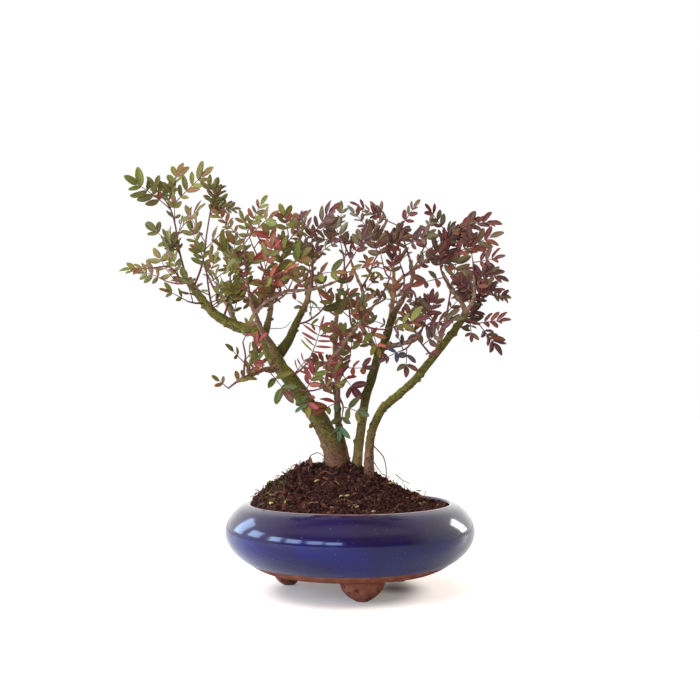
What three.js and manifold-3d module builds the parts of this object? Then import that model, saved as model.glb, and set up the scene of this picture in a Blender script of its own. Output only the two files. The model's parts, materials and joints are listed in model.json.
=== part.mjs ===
// A pistachio bonsai: a clump of trunks with pinnate leaves, in a round glazed pot on three feet.
// Millimetres, +Z up. The photograph looks along +Y. Lengths are worked out about the pot's axis,
// and the whole group is then moved so that its footprint is centred on the origin.
import * as THREE from "three";
import { mergeVertices } from "three/addons/utils/BufferGeometryUtils.js";
import Module from "manifold-3d";

const wasm = await Module();
wasm.setup();

// Clearances
const CLEAR = 0.35; // between two pieces that touch
const SUNK = 1.5; // how far a foot runs up into the bowl

// The bowl: radius and height of its outer and inner skin, from the underside to the lip
const BOWL_SIDES = 40;
const UNDERSIDE = 17;
const FLOOR = 25;
const OUTER_SKIN = [
  [73, UNDERSIDE],
  [78.6, 19.3],
  [86, 23.6],
  [94.4, 29.5],
  [101.4, 37.5],
  [104.9, 46],
  [104.6, 54],
  [101, 61.5],
  [94, 69.2],
  [87, 72.6],
];
const INNER_SKIN = [
  [83.6, 71.4],
  [85.4, 67.6],
  [95, 60],
  [99.2, 49.5],
  [94, 37.5],
  [76, FLOOR],
];

// The feet: centre distance from the axis, and their bearings seen from above
const FOOT_BEARINGS = [-80, 40, 160];
const FOOT_SIDES = 12;
// height, half width along the rim, half depth across it, distance from the axis
const FOOT_RINGS = [
  [0, 4.9, 5, 56],
  [2.4, 9, 7.6, 56.4],
  [6, 13.6, 9.6, 57],
  [11, 17.3, 11.2, 57.8],
  [UNDERSIDE + SUNK, 19.4, 11.8, 58],
];

// The drain holes and the plastic screens over them
const DRAIN_RADIUS = 7;
const DRAIN_SIDES = 12;
const DRAIN_OFFSET = 27;
const SCREEN_SIZE = 24;
const SCREEN_THICK = 1;
const SCREEN_ROWS = 3;
const SCREEN_BAR = 2;

// The soil: a ridge of peat, steep on the left and long on the right
const SOIL_SIDES = BOWL_SIDES;
const SOIL_RINGS = 6;
const SOIL_EDGE = 71;
const SOIL_TOP = 105.5;
const RIDGE = [-40, 1];
const FALL_LEFT = 46;
const FALL_RIGHT = 74;
const FALL_DEEP = 64;
const SOIL_LUMPS = 1.5;
const MOUND_CENTRE = -18;

// The wood, limb by limb: x, y, z on its middle line and its radius there
const ROOT_CROWN = [
  [-27, 2, 87, 4],
  [-21, 2, 86, 9],
  [-9, 2, 86, 12],
  [5, 1, 85, 11],
  [17, -3, 84, 7.5],
  [25, -5, 83, 3.5],
];
const LIMBS = {
  left_trunk: [
    [-12, 2, 93, 9.6], [-12, 0, 104, 8.9], [-17, -2, 126, 8.2], [-26, -4, 143, 7.4],
    [-38, -6, 160, 6.9], [-50, -7, 177, 6.5], [-63, -8, 193, 6.3], [-69, -8, 205, 5.9],
    [-80, -8, 218, 5.2], [-93, -6, 221, 4.7], [-106, -4, 227, 4.3], [-115, -3, 233, 4],
    [-124, -1, 243, 3.6], [-131, 0, 252, 3.3], [-137, 1, 259, 2.7],
  ],
  left_back_limb: [
    [-61, -6, 197, 5], [-52, 0, 210, 4], [-47, 8, 223, 3.2], [-42, 16, 234, 2.8],
    [-38, 24, 244, 2.2], [-36, 30, 254, 1.8], [-33, 38, 271, 1.4],
  ],
  left_front_limb: [
    [-55, -8, 188, 3.2], [-64, -17, 203, 2.6], [-72, -23, 216, 2.3], [-77, -29, 228, 2],
    [-79, -32, 234, 1.8], [-82, -38, 247, 1.5], [-84, -42, 261, 1.2],
  ],
  left_dark_limb: [
    [-74, -6, 210, 3.6], [-71, 2, 219, 3], [-70, 14, 228, 2.6], [-69, 28, 239, 2.3],
    [-70, 40, 252, 1.9], [-75, 50, 269, 1.5],
  ],
  long_red_twig: [
    [-78, -31, 232, 1.6], [-69, -37, 240, 1.4], [-59, -41, 245, 1.3], [-50, -43, 249, 1.2],
    [-32, -46, 250, 1.2], [-20, -48, 253, 1.1], [-10, -50, 257, 1],
  ],
  golden_stub: [
    [-59, -8, 185, 2.6], [-66, -16, 186, 2.2], [-73, -22, 185, 1.9], [-82, -30, 180, 1.7],
    [-88, -34, 178, 1.5], [-93, -38, 175, 1.3],
  ],
  left_rear_shoot: [
    [-96, -5, 222, 3], [-102, 16, 233, 2.2], [-111, 38, 247, 1.8], [-122, 56, 258, 1.4],
  ],
  middle_trunk: [
    [-1, 6, 93, 3.6], [-3, 8, 108, 3.3], [-7, 12, 125, 3.1], [-10, 15, 138, 3],
    [-11, 19, 157, 2.8], [-11, 24, 176, 2.7], [-12, 27, 189, 2.5], [-13, 30, 202, 2.3],
    [-13, 34, 216, 2.1], [-12, 38, 229, 1.9], [-10, 46, 247, 1.6], [-7, 56, 264, 1.3],
  ],
  middle_front_shoot: [
    [-11, 18, 153, 2], [-10, 8, 164, 1.9], [-11, 0, 172, 1.8], [-13, -8, 181, 1.7],
    [-17, -12, 188, 1.7], [-14, -15, 196, 1.6], [-7, -19, 204, 1.5], [0, -24, 214, 1.4],
    [7, -28, 222, 1.3], [15, -34, 233, 1.2], [24, -38, 242, 1],
  ],
  right_inner_trunk: [
    [6, 4, 91, 4.8], [6, 4, 106, 4.5], [8, 6, 125, 4.1], [10, 8, 138, 3.9], [13, 12, 159, 3.8],
    [19, 16, 179, 3.8], [25, 18, 199, 3.9], [29, 18, 207, 3.6], [33, 16, 218, 3.3],
    [35, 14, 228, 3], [38, 12, 234, 2.8], [43, 8, 242, 2.3], [48, 4, 251, 2], [52, 0, 259, 1.8],
    [53, -4, 268, 1.6], [50, -8, 279, 1.3],
  ],
  inner_left_fork: [
    [25, 18, 198, 2.8], [20, 24, 207, 2.3], [15, 30, 215, 2.2], [11, 35, 222, 2.1],
    [10, 40, 233, 1.9], [11, 44, 245, 1.7], [11, 47, 256, 1.5], [6, 50, 268, 1.3],
    [0, 53, 285, 1.1],
  ],
  inner_rear_fork: [
    [35, 14, 230, 2.2], [37, 20, 246, 1.9], [38, 26, 259, 1.7], [38, 32, 272, 1.4],
    [36, 36, 286, 1.1],
  ],
  inner_right_shoot: [
    [38, 26, 258, 1.5], [45, 22, 265, 1.4], [53, 18, 270, 1.3], [62, 15, 277, 1.2],
    [71, 12, 284, 1.1],
  ],
  dark_low_limb: [
    [28, 18, 204, 3], [38, 8, 206, 2.3], [46, -4, 208, 2], [54, -14, 210, 1.7],
    [59, -22, 217, 1.4],
  ],
  right_outer_trunk: [
    [15, -4, 89, 4.9], [16, -6, 101, 4.4], [16, -7, 113, 4.1], [17, -8, 126, 3.7],
    [19, -9, 135, 3.6], [26, -11, 151, 3.5], [32, -12, 157, 3.5], [39, -14, 163, 3.4],
    [47, -15, 170, 3.3], [55, -17, 178, 3.3], [68, -20, 194, 3.2], [82, -22, 212, 3],
    [93, -24, 227, 2.8], [97, -24, 236, 2.5],
  ],
  outer_left_fork: [
    [95, -24, 234, 2.2], [91, -20, 244, 1.9], [84, -14, 253, 1.7], [81, -8, 261, 1.5],
    [77, -4, 269, 1.2],
  ],
  outer_right_fork: [
    [95, -24, 233, 2.2], [101, -29, 241, 1.8], [102, -34, 252, 1.5], [101, -38, 263, 1.2],
  ],
  outer_rear_fork: [
    [70, -20, 196, 2.6], [75, 0, 205, 2], [81, 24, 220, 1.7], [86, 44, 236, 1.4],
  ],
};
const LIMB_SIDES = { left_trunk: 8, right_inner_trunk: 7, right_outer_trunk: 7, middle_trunk: 6 };
const THIN_LIMB_SIDES = 5;
const LIMB_STEP = 16;
const BARK_LUMPS = 0.045;

// A leafy stem is a twig from its first point to its tip. Each of its leaves is given by how far
// up the twig it grows, the end of its rachis, and its pairs of leaflets on the living plant.
const LEAFY_STEMS = {
  left_crest: {
    stem: [
      [-137, 1, 262], [-141, -3, 273], [-145, -8, 292], [-146, -11, 304], [-149, -14, 317],
      [-153, -16, 325],
    ],
    leaves: [
      [1, -163, -18, 338, 3], [0.95, -145, -8, 350, 3], [0.86, -123, -22, 345, 4],
      [0.84, -174, -28, 337, 4], [0.5, -127, -28, 315, 3], [0.36, -165, 4, 303, 2],
    ],
  },
  left_top: {
    stem: [[-129, 4, 257], [-127, 6, 272], [-124, 9, 288], [-123, 12, 301], [-120, 18, 325]],
    leaves: [[1, -121, 20, 343, 2], [0.62, -140, 36, 320, 3], [0.5, -103, -4, 307, 2]],
  },
  left_fan: {
    stem: [[-85, -43, 265], [-85, -41, 276], [-87, -37, 289]],
    leaves: [
      [1, -108, -30, 312, 4], [1, -72, -44, 319, 5], [0.9, -65, -58, 306, 3],
      [0.3, -102, -58, 281, 3],
    ],
  },
  left_tip: {
    stem: [[-139, -3, 257], [-142, -6, 260], [-146, -14, 267], [-151, -20, 271], [-159, -24, 270]],
    leaves: [[1, -179, -28, 268, 3], [0.72, -147, -34, 291, 3]],
  },
  left_low: {
    stem: [[-141, 5, 255], [-148, 12, 259], [-160, 20, 262]],
    leaves: [[1, -179, 26, 270, 3], [0.5, -167, 36, 283, 3]],
  },
  left_under: {
    stem: [[-125, -6, 240], [-130, -13, 241], [-135, -20, 242]],
    leaves: [[1, -148, -30, 249, 2], [0.6, -134, -36, 259, 2]],
  },
  left_rear: {
    stem: [[-123, 58, 261], [-130, 66, 274], [-134, 72, 289]],
    leaves: [[1, -144, 78, 311, 3], [0.7, -116, 86, 301, 2]],
  },
  left_front: {
    stem: [[-115, -9, 236], [-116, -22, 245], [-116, -36, 255], [-116, -46, 264]],
    leaves: [[1, -120, -56, 281, 3], [0.7, -96, -58, 266, 2], [0.4, -130, -50, 254, 3]],
  },
  left_middle: {
    stem: [[-104, -5, 232], [-102, -6, 244], [-101, -8, 257], [-100, -10, 271]],
    leaves: [[1, -96, -12, 292, 3], [0.7, -82, 2, 277, 2], [0.45, -118, 8, 262, 3]],
  },
  red_front: {
    stem: [[-79, -40, 245], [-72, -50, 254], [-68, -58, 265]],
    leaves: [[1, -62, -64, 283, 3], [0.6, -50, -70, 264, 2]],
  },
  red_rise: {
    stem: [[-58, -43, 248], [-57, -44, 262], [-54, -42, 278], [-50, -40, 294]],
    leaves: [
      [1, -54, -38, 311, 3], [0.85, -37, -48, 306, 3], [0.55, -67, -32, 295, 3],
      [0.3, -40, -54, 275, 2],
    ],
  },
  red_rise_right: {
    stem: [[-31, -48, 253], [-30, -49, 267], [-31, -47, 282], [-30, -45, 297]],
    leaves: [
      [1, -41, -42, 309, 3], [0.9, -17, -50, 311, 3], [0.5, -13, -58, 286, 3],
      [0.2, -13, -60, 263, 2],
    ],
  },
  red_tip: {
    stem: [[-2, -51, 266], [2, -53, 275]],
    leaves: [[1, 10, -54, 291, 3], [0.3, 14, -62, 268, 2]],
  },
  back_top: {
    stem: [[-33, 39, 275], [-35, 42, 289], [-39, 44, 302]],
    leaves: [[1, -51, 46, 316, 3], [0.7, -20, 54, 314, 2]],
  },
  dark_top: {
    stem: [[-76, 51, 272], [-82, 55, 285], [-88, 59, 298]],
    leaves: [[1, -96, 62, 320, 3], [0.8, -72, 68, 315, 2]],
  },
  dark_side: {
    stem: [[-66, 31, 242], [-57, 42, 252], [-52, 52, 263]],
    leaves: [[1, -45, 60, 284, 3], [0.5, -38, 62, 257, 2]],
  },
  fork_side: {
    stem: [[-43, 8, 223], [-37, 2, 226], [-30, -4, 230], [-24, -8, 235], [-18, -12, 243]],
    leaves: [[1, -23, -14, 259, 2], [0.75, -3, -24, 245, 3], [0.4, -33, -18, 243, 2]],
  },
  golden_tip: {
    stem: [[-94, -39, 174], [-99, -42, 170]],
    leaves: [[1, -106, -44, 176, 1]],
  },
  golden_riser: {
    stem: [[-87, -36, 181], [-86, -39, 189], [-85, -41, 197], [-87, -43, 208]],
    leaves: [[1, -81, -46, 222, 2], [0.5, -74, -52, 207, 2], [0.4, -94, -48, 200, 1]],
  },
  trunk_front: {
    stem: [[-44, -15, 169], [-38, -22, 168], [-31, -26, 168], [-23, -30, 170]],
    leaves: [[1, -10, -34, 174, 2], [0.5, -34, -36, 156, 2]],
  },
  trunk_left: {
    stem: [[-62, -17, 183], [-66, -24, 183], [-71, -30, 185]],
    leaves: [[1, -76, -36, 200, 2], [0.5, -54, -38, 169, 2]],
  },
  centre_red: {
    stem: [[-48, -15, 181], [-41, -24, 185], [-34, -30, 192]],
    leaves: [[1, -25, -36, 216, 4], [0.6, -18, -42, 190, 2]],
  },
  middle_top: {
    stem: [[-7, 57, 267], [-5, 62, 280], [-7, 66, 293]],
    leaves: [[1, -13, 70, 316, 3], [0.7, 11, 78, 300, 2]],
  },
  middle_side: {
    stem: [[-14, 42, 231], [-21, 52, 240], [-27, 62, 252]],
    leaves: [[1, -34, 70, 272, 3], [0.5, -44, 70, 243, 2]],
  },
  middle_low: {
    stem: [[-8, 20, 179], [-3, 14, 187], [0, 9, 197]],
    leaves: [[1, 2, 5, 214, 2], [0.5, 12, 2, 187, 2], [0.2, 2, 6, 170, 2]],
  },
  middle_teal: {
    stem: [[-9, 4, 161], [-6, -3, 155], [-6, -7, 150]],
    leaves: [[1, -8, -10, 136, 2], [0.6, 7, -14, 150, 2], [0.3, -20, -10, 153, 2]],
  },
  shoot_top: {
    stem: [[25, -39, 244], [29, -43, 252], [32, -47, 259]],
    leaves: [[1, 35, -51, 275, 3], [0.4, 43, -54, 248, 2]],
  },
  shoot_middle: {
    stem: [[1, -27, 217], [0, -30, 228], [-1, -34, 240]],
    leaves: [[1, -3, -38, 258, 2], [0.6, 13, -46, 240, 3], [0.5, -16, -42, 242, 3]],
  },
  shoot_right: {
    stem: [[10, -30, 220], [19, -33, 219], [29, -36, 218]],
    leaves: [[1, 52, -40, 225, 3], [0.4, 22, -42, 204, 2]],
  },
  fork_top: {
    stem: [[-1, 54, 288], [-4, 55, 295], [-8, 56, 305], [-8, 56, 311]],
    leaves: [[1, -8, 56, 326, 3], [0.45, -38, 64, 306, 4], [0.4, 12, 50, 306, 2]],
  },
  fork_right: {
    stem: [[13, 44, 258], [17, 40, 269], [21, 34, 280], [27, 28, 290]],
    leaves: [[1, 45, 22, 298, 3], [0.85, 19, 24, 305, 3]],
  },
  crest_left: {
    stem: [[35, 37, 290], [32, 38, 295], [25, 38, 298]],
    leaves: [[1, 4, 38, 322, 4], [0.8, 23, 48, 324, 3]],
  },
  crest_middle: {
    stem: [[50, -9, 282], [47, -10, 288], [44, -12, 297], [42, -14, 305]],
    leaves: [[1, 8, -18, 321, 5], [0.95, 53, -20, 320, 3], [0.4, 61, -26, 294, 3]],
  },
  crest_right: {
    stem: [[74, 10, 288], [77, 10, 292], [82, 8, 299], [85, 6, 305]],
    leaves: [[1, 116, 2, 310, 5], [0.8, 69, 0, 319, 3]],
  },
  right_middle: {
    stem: [[76, -5, 271], [76, -7, 277]],
    leaves: [[1, 117, -12, 296, 5], [1, 62, -18, 290, 2], [0.4, 95, -16, 268, 2]],
  },
  right_far: {
    stem: [[101, -39, 266], [100, -41, 273]],
    leaves: [[1, 97, -44, 292, 3], [0.9, 116, -50, 275, 3], [0.3, 119, -42, 261, 3]],
  },
  right_edge: {
    stem: [[103, -28, 243], [109, -22, 244], [116, -20, 248]],
    leaves: [[1, 127, -18, 247, 3], [0.5, 116, -12, 265, 2]],
  },
  right_hang: {
    stem: [[95, -26, 226], [100, -30, 225], [106, -34, 222]],
    leaves: [[1, 117, -40, 207, 4], [0.8, 121, -42, 225, 3], [0.4, 99, -36, 214, 2]],
  },
  right_low: {
    stem: [[64, -25, 198], [61, -30, 204], [55, -37, 211]],
    leaves: [[1, 49, -46, 230, 3], [0.6, 73, -44, 217, 3], [0.2, 69, -36, 198, 2]],
  },
  dark_low: {
    stem: [[52, -18, 207], [48, -22, 204], [43, -27, 201]],
    leaves: [[1, 30, -32, 195, 2], [0.9, 39, -34, 213, 2], [0.6, 46, -36, 188, 2]],
  },
  dark_tip: {
    stem: [[60, -24, 220], [62, -28, 225]],
    leaves: [[1, 66, -32, 242, 3], [0.5, 81, -40, 226, 3]],
  },
  right_rear: {
    stem: [[87, 46, 240], [89, 52, 251], [91, 58, 262]],
    leaves: [[1, 96, 64, 284, 3], [0.7, 113, 72, 269, 2]],
  },
  right_rear_low: {
    stem: [[79, 30, 223], [73, 42, 228], [67, 54, 235]],
    leaves: [[1, 54, 64, 250, 3], [0.5, 59, 58, 217, 2]],
  },
  inner_rear: {
    stem: [[36, 31, 261], [32, 44, 270], [29, 56, 282]],
    leaves: [[1, 25, 64, 304, 3], [0.6, 49, 70, 287, 2]],
  },
  inner_rear_low: {
    stem: [[36, 22, 219], [39, 34, 227], [42, 46, 238]],
    leaves: [[1, 41, 54, 258, 3], [0.5, 59, 60, 241, 2]],
  },
  inner_front: {
    stem: [[43, 4, 245], [45, -8, 252], [45, -20, 262], [42, -30, 270]],
    leaves: [[1, 34, -38, 289, 3], [0.7, 58, -42, 271, 2]],
  },
  outer_front: {
    stem: [[82, -18, 254], [78, -26, 260], [75, -34, 265]],
    leaves: [[1, 70, -44, 282, 3], [0.6, 60, -46, 256, 2]],
  },
  right_top_rear: {
    stem: [[55, 23, 273], [61, 36, 283], [66, 48, 295]],
    leaves: [[1, 72, 56, 316, 3], [0.7, 87, 64, 302, 2]],
  },
};

const TWIG_RADIUS = 1;
const TWIG_TIP_RADIUS = 0.9;
const TWIG_SIDES = 3;
const TWIG_STEP = 16;
const SLANT_LEAST = 0.35; // sine of the flattest angle at which a twig leaves its limb

// The leaves: leaflets are drawn a little large, with one pair fewer than on the living plant
const LEAFLET_LENGTH = 13.5;
const LEAFLET_WIDTH = 0.43; // of its length
const LEAFLET_ROOT = 0.8; // half its width where it meets the rachis
const LEAFLET_DROOP = 0.1; // of its length, at the tip
const FULL_REACH = 24; // a leaf with a shorter rachis has smaller leaflets, in proportion
const SMALLEST = 0.6;
const BLADE_THICK = 0.62;
const RACHIS_HALF = 0.5;
const RACHIS_ROOT_HALF = 0.3; // where it is sunk in the twig
const ROOT_SUNK = 1.2; // how far short of the twig's end its last leaf starts
const RACHIS_ARCH = 0.14; // of its length, from the most up to the most down
const PAIRS_FROM = 0.42; // of the rachis
const PAIRS_TO = 0.84;
const FACE_DIVIDE = 8; // leaves nearer the viewer than this y face forwards, the others back
const FACE_OUTWARD = 0.003; // for each millimetre from the axis
const FACE_UP = 0.75;
const FACE_SPREAD = 0.7;
const OPEN_ANGLE = 0.95; // of a leaflet from the rachis, radians
const OPEN_SPREAD = 0.25;
const OPEN_CLOSING = 0.15; // how much less the last pair opens
const LIFT_ANGLE = 0.25; // of a leaflet out of the leaf's plane
const LIFT_SPREAD = 0.5;
const TWIST_SPREAD = 0.5;

// How a leaf is turned to stay clear of its neighbours: its tip moves this far in depth
const SHIFTS = [0, 6, -6, 12, -12, 19, -19, 27, -27, 36, -36];
const LEAF_APART = 2.5;
const TWIG_APART = 2.3;
const WOOD_APART = 1.5;
const PROBE_STEP = 3;

// Vectors as plain triples

const add = (a, b, k = 1) => a.map((v, i) => v + b[i] * k);
const dot = (a, b) => a[0] * b[0] + a[1] * b[1] + a[2] * b[2];
const length = (a) => Math.sqrt(dot(a, a));
const unit = (a) => a.map((v) => v / length(a));
const cross = (a, b) => [
  a[1] * b[2] - a[2] * b[1],
  a[2] * b[0] - a[0] * b[2],
  a[0] * b[1] - a[1] * b[0],
];
const across = (a, t) => unit(add(a, t, -dot(a, t)));

// A seeded row of numbers from 0 to 1
function draws(seed) {
  let state = (seed * 7919 + 104729) % 4294967296;
  return () => {
    state = (state * 1664525 + 1013904223) % 4294967296;
    return state / 4294967296;
  };
}

// The point, and any radius with it, at u from 0 to 1 on the smooth line through the rows
function along(rows, u) {
  const last = rows.length - 1;
  const k = Math.min(Math.floor(u * last), last - 1);
  const f = u * last - k;
  const a = rows[Math.max(k - 1, 0)];
  const b = rows[k];
  const c = rows[k + 1];
  const d = rows[Math.min(k + 2, last)];
  return b.map((v, i) => {
    const turn = (2 * a[i] - 5 * v + 4 * c[i] - d[i]) * f * f;
    return 0.5 * (2 * v + (c[i] - a[i]) * f + turn + (3 * v - a[i] - 3 * c[i] + d[i]) * f ** 3);
  });
}

// How far two points, or the x, y, z of two rows, lie apart
const apart = (a, b) => Math.hypot(a[0] - b[0], a[1] - b[1], a[2] - b[2]);

const spread = (rows) => rows.slice(1).reduce((sum, row, i) => sum + apart(row, rows[i]), 0);

// The same line cut into even steps
function steps(rows, step, least = 2) {
  const count = Math.max(least, Math.round(spread(rows) / step));
  return Array.from({ length: count + 1 }, (_, i) => along(rows, i / count));
}

// The point at u from 0 to 1 on the straight runs between the rows
function onRows(rows, u) {
  const last = rows.length - 1;
  const k = Math.min(Math.floor(u * last), last - 1);
  const f = u * last - k;
  return rows[k].map((v, i) => v * (1 - f) + rows[k + 1][i] * f);
}

// Closed shells

function solid(points, faces) {
  return new wasm.Manifold(
    new wasm.Mesh({
      numProp: 3,
      vertProperties: new Float32Array(points.flat()),
      triVerts: new Uint32Array(faces.flat()),
    }),
  );
}

// A shell through a stack of rings with equal counts, closed by a fan at each end
function stack(rings) {
  const sides = rings[0].length;
  const faces = [];
  const top = (rings.length - 1) * sides;
  for (let i = 1; i < sides - 1; i++) {
    faces.push([0, i + 1, i], [top, top + i, top + i + 1]);
  }
  for (let k = 0; k < rings.length - 1; k++) {
    for (let i = 0; i < sides; i++) {
      const a = k * sides + i;
      const b = k * sides + ((i + 1) % sides);
      faces.push([a, b, b + sides], [a, b + sides, a + sides]);
    }
  }
  return solid(rings.flat(), faces);
}

// A round bar along rows of x, y, z, radius. It can grow by a skin all round, its ends included,
// and lump gives each corner its share of the bark's relief.
function bar(line, sides, grow = 0, lump = () => 1) {
  const rows = line.map((row) => [...row]);
  const last = rows.length - 1;
  for (const [end, next] of [[0, 1], [last, last - 1]]) {
    const out = unit(add(line[end].slice(0, 3), line[next], -1));
    rows[end].splice(0, 3, ...add(line[end].slice(0, 3), out, grow));
  }
  const runsAlongX = Math.abs(rows[1][0] - rows[0][0]) > Math.abs(rows[1][1] - rows[0][1]);
  let side = runsAlongX ? [0, 1, 0] : [1, 0, 0];
  const rings = rows.map((row, k) => {
    const before = rows[Math.max(k - 1, 0)];
    const after = rows[Math.min(k + 1, last)];
    const t = unit(add(after.slice(0, 3), before, -1));
    side = across(side, t);
    const up = cross(t, side);
    return Array.from({ length: sides }, (_, i) => {
      const turn = (2 * Math.PI * i) / sides;
      const r = row[3] * lump() + grow;
      return add(add(row.slice(0, 3), side, r * Math.cos(turn)), up, r * Math.sin(turn));
    });
  });
  return stack(rings);
}

// A mesh of three.js from a solid, and a solid from a closed geometry of three.js

function meshOf(name, body, colour, roughness) {
  const { vertProperties, triVerts } = body.getMesh();
  const geometry = new THREE.BufferGeometry();
  geometry.setAttribute("position", new THREE.BufferAttribute(new Float32Array(vertProperties), 3));
  geometry.setIndex(new THREE.BufferAttribute(new Uint32Array(triVerts), 1));
  const flat = geometry.toNonIndexed();
  flat.computeVertexNormals();
  const mesh = new THREE.Mesh(
    flat,
    new THREE.MeshStandardMaterial({ color: colour, roughness, metalness: 0 }),
  );
  mesh.name = name;
  return mesh;
}

function solidOf(geometry) {
  const bare = geometry.clone();
  bare.deleteAttribute("normal");
  bare.deleteAttribute("uv");
  const merged = mergeVertices(bare, 1e-4);
  return new wasm.Manifold(
    new wasm.Mesh({
      numProp: 3,
      vertProperties: merged.attributes.position.array,
      triVerts: new Uint32Array(merged.index.array),
    }),
  );
}

// The pot

function lathe(profile) {
  const points = profile.map(([r, z]) => new THREE.Vector2(r, z));
  return solidOf(new THREE.LatheGeometry(points, BOWL_SIDES).rotateX(Math.PI / 2));
}

function foot(bearing) {
  const turn = (bearing * Math.PI) / 180;
  const out = [Math.cos(turn), Math.sin(turn), 0];
  const wide = [-out[1], out[0], 0];
  return stack(
    FOOT_RINGS.map(([z, halfWidth, halfDepth, away]) =>
      Array.from({ length: FOOT_SIDES }, (_, i) => {
        const a = (2 * Math.PI * i) / FOOT_SIDES;
        const centre = add([0, 0, z], out, away + halfDepth * Math.cos(a));
        return add(centre, wide, halfWidth * Math.sin(a));
      }),
    ),
  );
}

function drainHole(x) {
  const height = FLOOR - UNDERSIDE + 4;
  const hole = new THREE.CylinderGeometry(DRAIN_RADIUS, DRAIN_RADIUS, height, DRAIN_SIDES);
  return solidOf(hole.rotateX(Math.PI / 2).translate(x, 0, (FLOOR + UNDERSIDE) / 2));
}

function makePot() {
  let pot = lathe([[0, UNDERSIDE], ...OUTER_SKIN, ...INNER_SKIN, [0, FLOOR]]);
  for (const bearing of FOOT_BEARINGS) pot = pot.add(foot(bearing));
  for (const x of [-DRAIN_OFFSET, DRAIN_OFFSET]) pot = pot.subtract(drainHole(x));
  return pot;
}

// The drain screens

function block(wide, tall, x, y, z) {
  return solidOf(new THREE.BoxGeometry(wide, wide, tall).translate(x, y, z));
}

function makeScreen(x) {
  const hole = (SCREEN_SIZE - SCREEN_BAR * (SCREEN_ROWS + 1)) / SCREEN_ROWS;
  const pitch = hole + SCREEN_BAR;
  const z = FLOOR + CLEAR + SCREEN_THICK / 2;
  let screen = block(SCREEN_SIZE, SCREEN_THICK, x, 0, z);
  for (let row = -1; row <= 1; row++) {
    for (let column = -1; column <= 1; column++) {
      screen = screen.subtract(block(hole, 3 * SCREEN_THICK, x + column * pitch, row * pitch, z));
    }
  }
  return screen;
}

function screenPocket(x) {
  const wide = SCREEN_SIZE + 2 * CLEAR;
  const tall = SCREEN_THICK + 4 * CLEAR;
  return block(wide, tall, x, 0, FLOOR + tall / 2);
}

// The soil

function soilHeight(x, y) {
  const near = Math.min(Math.max(x, RIDGE[0]), RIDGE[1]);
  const away = Math.hypot(x - near, y);
  const sideways = away > 0 ? (x - near) / away : 0;
  const fall = FALL_DEEP + ((sideways > 0 ? FALL_RIGHT : FALL_LEFT) - FALL_DEEP) * sideways ** 2;
  const share = Math.max(0, 1 - away / fall);
  return SOIL_EDGE + (SOIL_TOP - SOIL_EDGE) * share;
}

function makeSoil() {
  const draw = draws(11);
  const rim = (r, z) =>
    Array.from({ length: SOIL_SIDES }, (_, i) => {
      const turn = (2 * Math.PI * i) / SOIL_SIDES + Math.PI / 2;
      return [r * Math.cos(turn), r * Math.sin(turn), z];
    });
  const wall = INNER_SKIN.slice(1).reverse();
  const rings = wall.map(([r, z], k) => rim(r - 2 * CLEAR, k === 0 ? FLOOR + 2 * CLEAR : z));
  const edge = INNER_SKIN[0][0] - 2.5 * CLEAR;
  rings.push(rim(edge, SOIL_EDGE - 1));
  for (let k = 1; k < SOIL_RINGS; k++) {
    const share = k / SOIL_RINGS;
    rings.push(
      rim(edge * (1 - share), 0).map(([x, y]) => {
        const lumps = SOIL_LUMPS * (2 * draw() - 1) * Math.min(1, 2 * share);
        const moved = x + MOUND_CENTRE * share;
        return [moved, y, soilHeight(moved, y) + lumps];
      }),
    );
  }
  let soil = stack(rings);
  for (const x of [-DRAIN_OFFSET, DRAIN_OFFSET]) soil = soil.subtract(screenPocket(x));
  for (const trunk of woodBars(CLEAR + 0.1)) soil = soil.subtract(trunk);
  return soil;
}

// The wood

const limbRows = (rows) => steps(rows, LIMB_STEP);

function woodBars(grow) {
  const bars = [bar(ROOT_CROWN, 8, grow)];
  Object.entries(LIMBS).forEach(([name, rows], index) => {
    const draw = draws(100 + index);
    const lump = () => 1 + BARK_LUMPS * (2 * draw() - 1);
    bars.push(bar(limbRows(rows), LIMB_SIDES[name] ?? THIN_LIMB_SIDES, grow, lump));
  });
  return bars;
}

// The point of the wood nearest to a leafy stem's foot, with the limb's run there
function nearestWood(point) {
  let best = { away: Infinity };
  for (const limb of Object.values(LIMBS)) {
    const rows = limbRows(limb);
    const count = Math.ceil(spread(rows));
    for (let k = 0; k <= count; k++) {
      const row = onRows(rows, k / count);
      const away = apart(row, point);
      if (away < best.away) {
        const before = onRows(rows, Math.max(k - 1, 0) / count);
        const after = onRows(rows, Math.min(k + 1, count) / count);
        const axis = unit(add(after.slice(0, 3), before, -1));
        const tip = k >= count - 1;
        best = { away, row: tip ? rows.at(-1) : row, axis, tip };
      }
    }
  }
  return best;
}

// A leafy stem's line, with its foot moved to just off the bark
function twigOf(stem) {
  const { row, axis, tip } = nearestWood(stem[0]);
  const centre = row.slice(0, 3);
  const out = unit(add(stem[1], centre, -1));
  const cosine = dot(out, axis);
  const sine = Math.max(SLANT_LEAST, Math.sqrt(1 - cosine ** 2));
  const wide = row[3] * (1 + BARK_LUMPS) + CLEAR;
  const aside = (wide + TWIG_RADIUS * Math.abs(cosine)) / sine;
  const ahead = (CLEAR + TWIG_RADIUS * sine) / Math.max(cosine, 0.01);
  return [add(centre, out, tip ? Math.min(aside, ahead) : aside), ...stem.slice(1)];
}

// A leaf: everything about it that follows from where it grows, its tip and its turn

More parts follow.
